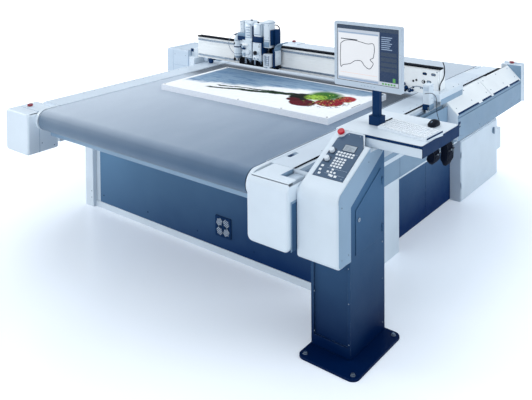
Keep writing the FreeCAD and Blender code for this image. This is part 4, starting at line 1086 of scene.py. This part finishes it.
table.blocks([
    (0.988, 0.132, 0.8975, 1.011, 0.210, 0.9005, "blue_grey", 0.001),
    (0.990, 0.136, 0.900, 1.009, 0.176, 0.9036, "navy_deep", 0.001),
    (0.9445, 0.004, 0.8985, 0.9500, 2.688, 0.9046, "navy_deep", 0.0008),
    (-0.9500, 0.004, 0.8985, -0.9445, 2.688, 0.9046, "navy_deep", 0.0008),
    # Painted shadow: a black sheet along the rail cover's right edge.
    (1.1245, 0.003, 0.8846, 1.1268, 2.689, 0.9034, "black", 0.0005),
    (1.1298, 0.003, 0.8725, 1.1320, 3.028, 0.8838, "black", 0.0005),
    (1.1298, 0.064, 0.762, 1.1315, 3.028, 0.8490, "navy_deep", 0.0005),
    (1.2018, 1.702, 0.655, 1.2030, 3.028, 0.9285, "navy_deep", 0.0004),
    (1.1252, 0.190, 0.8815, 1.1288, 3.028, 0.9038, "black_strip", 0.0004),
    (1.1290, 2.695, 0.884, 1.2017, 3.028, 0.9060, "black_strip", 0.002),
    (1.1330, 1.702, 0.652, 1.2000, 3.028, 0.656, "black", 0.0005),
    (1.1360, 0.500, 0.5005, 1.1400, 2.176, 0.7395, "blue_grey", 0.0006),
    (1.1355, 1.180, 0.5005, 1.1404, 1.182, 0.7395, "navy_deep", 0.0003),
    (1.2060, 3.0290, 0.800, 1.3245, 3.0312, 0.9445, "blue_grey", 0.0006),
])
for k in range(40):
    y = 0.13 + 0.038 * k
    table.block(at(1.212, y, 0.792), at(1.240, y + 0.032, 0.822), "black", 0.004)
(lx0, ly0, lz0), (lx1, ly1, lz1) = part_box("side_duct_lids")
fall = math.atan2(0.110, 0.112)
seat = Matrix.Translation((lx1 - 0.003, 0, lz0 + 0.0045)) @ Matrix.Rotation(fall, 4, "Y")
for y0, y1 in ((ly0 + 0.02, ly0 + 0.40), (ly0 + 0.47, ly0 + 0.655), (ly0 + 0.70, ly1 - 0.30),
               (ly1 - 0.26, ly1 - 0.03)):
    table.block((-0.0105, y0, -0.0004), (0.0035, y1, 0.0015), "navy_deep", 0.0008, seat)
for y in (ly0 + 0.05, ly0 + 0.33, ly0 + 0.62, ly0 + 0.72, ly1 - 0.33, ly1 - 0.06):
    for t in (0.045, 0.135):
        table.screw(seat @ Vector((-t, y, 0.0006)), (math.sin(fall), 0, math.cos(fall)), 0.0042)
cap_outline = [(1.2035, 0.645), (1.3245, 0.645), (1.3245, 0.8195), (1.2110, 0.9345), (1.2035, 0.9345)]
bm = bmesh.new()
near = [bm.verts.new(at(x, 1.6982, z)) for x, z in cap_outline]
far = [bm.verts.new(at(x, 1.7012, z)) for x, z in cap_outline]
bm.faces.new(near)
bm.faces.new(list(reversed(far)))
for i in range(5):
    bm.faces.new((near[i], far[i], far[(i + 1) % 5], near[(i + 1) % 5]))
bmesh.ops.recalc_face_normals(bm, faces=bm.faces[:])
bmesh.ops.bevel(bm, geom=bm.edges[:], offset=0.0008, segments=2, affect="EDGES", profile=0.5)
table._take(bm, "white", None)
table.block(at(1.3235, 1.706, 0.735), at(1.3275, 1.742, 0.775), "navy_deep", 0.003)
table.turned(at(1.3270, 1.724, 0.755), RIGHT, [(0.010, 0), (0.010, 0.003), (0.006, 0.005)], "steel", 20)
for y in (1.75, 2.1, 2.45, 2.8, 2.98):
    table.screw(at(1.325, y, 0.67), RIGHT, 0.004)
for y, z in ((2.86, 0.400),):
    table.turned(at(1.1458, y, z), RIGHT, [(0.026, 0), (0.027, 0.001), (0.027, 0.002), (0.025, 0.003)],
                 "blue_grey", 30)
for quarter in range(4):
    turn = (Matrix.Translation(at(0.243, 0.4105, 0.193)) @ Matrix.Rotation(quarter * math.pi / 2, 4, "Y")
            @ Matrix.Translation((0.030, 0, 0.030)) @ Matrix.Rotation(math.radians(-45), 4, "Y"))
    for k in range(5):
        reach = 0.022 - 0.0035 * abs(k - 2) + (0.003 if k == 2 else 0)
        table.block((-reach, -0.0012, -0.0225 + 0.0105 * k), (reach, 0.0006, -0.0175 + 0.0105 * k),
                    "pale_blue", 0.0006, turn)
for k in range(9):
    table.block(at(0.80 + 0.03 * k, 2.1765, 0.30), at(0.816 + 0.03 * k, 2.1785, 0.42), "black", 0.003)
for z in (0.10, 0.55):
    for x in (-1.0, -0.5, 0.0, 0.5, 0.98):
        table.turned(at(x, 0.420, z), FRONT, [(0.006, -0.001), (0.006, 0.001), (0.004, 0.002)],
                     "navy_deep", 16)
for y in (1.20, 1.72, 1.76, 2.12):
    for z in (0.05, 0.45):
        table.turned(at(1.056, y, z), RIGHT, [(0.006, -0.001), (0.006, 0.001), (0.004, 0.002)],
                     "navy_deep", 16)
for z in (0.07, 0.12, 0.55):
    table.screw(at(-1.110, 0.390, z), FRONT, 0.004)
table.block(at(0.985, 3.0860, 0.700), at(1.14, 3.0875, 0.850), "pale_blue", 0.001)
for x in (-1.06, -0.30, 0.40, 1.06):
    table.screw((x, y_of(3.0858) if abs(x) > 1 else y_of(2.9205), 0.72), (0, 1, 0), 0.004)
table.done()


# ---------------------------------------------------------------- floor, light, camera
def floor_material():
    """Near-white satin floor that keeps its soft shadow, with a camera-only glow as painted light: bright away
    from and behind the machine, weaker and bluer near it as painted shade.
    """
    g = Graph("pale_floor")
    tone = g.mix(g.span(g.noise(0.6, 3), 0.3, 0.7, 0, 1), srgb("e4ebf2"), srgb("e9eff5"))
    g.link(tone, g.shader.inputs["Base Color"])
    g.shader.inputs["Roughness"].default_value = 0.26
    g.shader.inputs["Specular IOR Level"].default_value = 0.4
    seen = g.add("ShaderNodeLightPath").outputs["Is Camera Ray"]
    x, y, _ = g.xyz()
    dx, dy = g.math("ADD", x, -0.1), g.math("ADD", y, 0.35)
    away = g.math("SQRT", g.math("ADD", g.math("MULTIPLY", dx, dx), g.math("MULTIPLY", dy, dy)))
    # Painted light: the camera-only glow is weak near the machine and strong away from it, a painted shade
    # around the machine.
    lift = g.span(away, 1.5, 4.6, 0.24, 0.86)
    # Painted shade tint: the glow is bluer near the machine and warmer far away.
    glow_tone = g.mix(g.span(away, 1.5, 4.2, 0, 1), (0.90, 0.96, 1.06, 1), (1.02, 0.98, 0.93, 1))
    g.link(glow_tone, g.shader.inputs["Emission Color"])
    g.link(g.math("MULTIPLY", seen, lift), g.shader.inputs["Emission Strength"])
    return g.material


bpy.ops.mesh.primitive_plane_add(size=60, location=(0, 0, 0))
floor = bpy.context.object
floor.name = "floor"
floor.data.materials.append(floor_material())


def area(name, place, target, size, power, color, gloss=False):
    light = bpy.data.lights.new(name, "AREA")
    light.shape = "RECTANGLE"
    light.size, light.size_y = size
    light.energy = power
    light.color = color
    obj = bpy.data.objects.new(name, light)
    obj.location = place
    obj.rotation_euler = (Vector(target) - Vector(place)).to_track_quat("-Z", "Y").to_euler()
    obj.visible_glossy = gloss
    bpy.context.collection.objects.link(obj)


area("back_softbox", (-2.6, 5.2, 4.2), (0, 0, 0.8), (6, 3), 230, (0.97, 0.99, 1.0))
area("top_softbox", (-0.5, -0.5, 5.0), (0, 0, 0.6), (5, 5), 70, (0.95, 0.98, 1.0), True)
area("left_softbox", (-6.0, -3.5, 2.6), (0, 0, 0.6), (4, 3), 150, (0.99, 0.99, 0.98), True)
area("front_fill", (1.0, -7.0, 2.4), (0.6, 0, 0.5), (5, 2.5), 120, (0.99, 0.99, 0.98))
area("right_fill", (6.2, 1.0, 3.4), (1.0, 0.4, 0.5), (5, 2.5), 150, (0.90, 0.96, 1.0))

world = bpy.data.worlds.new("studio")
bpy.context.scene.world = world
world.use_nodes = True
nodes, links = world.node_tree.nodes, world.node_tree.links
nodes.clear()
output = nodes.new("ShaderNodeOutputWorld")
soft = nodes.new("ShaderNodeBackground")
soft.inputs[0].default_value = (0.81, 0.90, 1.0, 1)
soft.inputs[1].default_value = 0.5
seen = nodes.new("ShaderNodeBackground")
seen.inputs[0].default_value = (0.97, 0.98, 1.0, 1)
seen.inputs[1].default_value = 1.0
choose = nodes.new("ShaderNodeMixShader")
ray = nodes.new("ShaderNodeLightPath")
links.new(ray.outputs["Is Camera Ray"], choose.inputs[0])
links.new(soft.outputs[0], choose.inputs[1])
links.new(seen.outputs[0], choose.inputs[2])
links.new(choose.outputs[0], output.inputs[0])

CAMERA_AT = Vector((3.3107, -4.4102, 2.2522))
HEADING, PITCH, ROLL = (math.radians(a) for a in (38.14, 1.94, -0.45))
FOCAL_PIXELS, CENTRE_U, CENTRE_V = 697.8, 270.6, -61.0
WIDTH, HEIGHT = 532.0, 400.0

ahead = Vector((-math.sin(HEADING) * math.cos(PITCH), math.cos(HEADING) * math.cos(PITCH), -math.sin(PITCH)))
right = Vector((math.cos(HEADING), math.sin(HEADING), 0))
up = right.cross(ahead)
right, up = (right * math.cos(ROLL) + up * math.sin(ROLL), up * math.cos(ROLL) - right * math.sin(ROLL))
lens = bpy.data.cameras.new("camera")
lens.sensor_width = 36.0
lens.lens = 36.0 * FOCAL_PIXELS / WIDTH
camera = bpy.data.objects.new("camera", lens)
camera.matrix_world = Matrix((
    (right.x, up.x, -ahead.x, CAMERA_AT.x),
    (right.y, up.y, -ahead.y, CAMERA_AT.y),
    (right.z, up.z, -ahead.z, CAMERA_AT.z),
    (0, 0, 0, 1),
))


def shift_at_home(channel, value):
    """The lens shift holds only while the camera stands at its own place, so other views are centred."""
    curve = lens.driver_add(channel)
    curve.driver.type = "SUM"
    spot = curve.driver.variables.new()
    spot.type = "TRANSFORMS"
    spot.targets[0].id = camera
    spot.targets[0].transform_type = "LOC_X"
    spot.targets[0].transform_space = "WORLD_SPACE"
    for modifier in list(curve.modifiers):
        curve.modifiers.remove(modifier)
    curve.keyframe_points.clear()
    curve.extrapolation = "CONSTANT"
    near, clear = 0.04, 0.09
    for offset, amount in ((-clear, 0.0), (-near, value), (near, value), (clear, 0.0)):
        curve.keyframe_points.insert(CAMERA_AT.x + offset, amount).interpolation = "LINEAR"


shift_at_home("shift_x", (WIDTH / 2 - CENTRE_U) / WIDTH)
shift_at_home("shift_y", (CENTRE_V - HEIGHT / 2) / WIDTH)
bpy.context.collection.objects.link(camera)
bpy.context.scene.camera = camera
bpy.context.scene.view_settings.view_transform = "Standard"
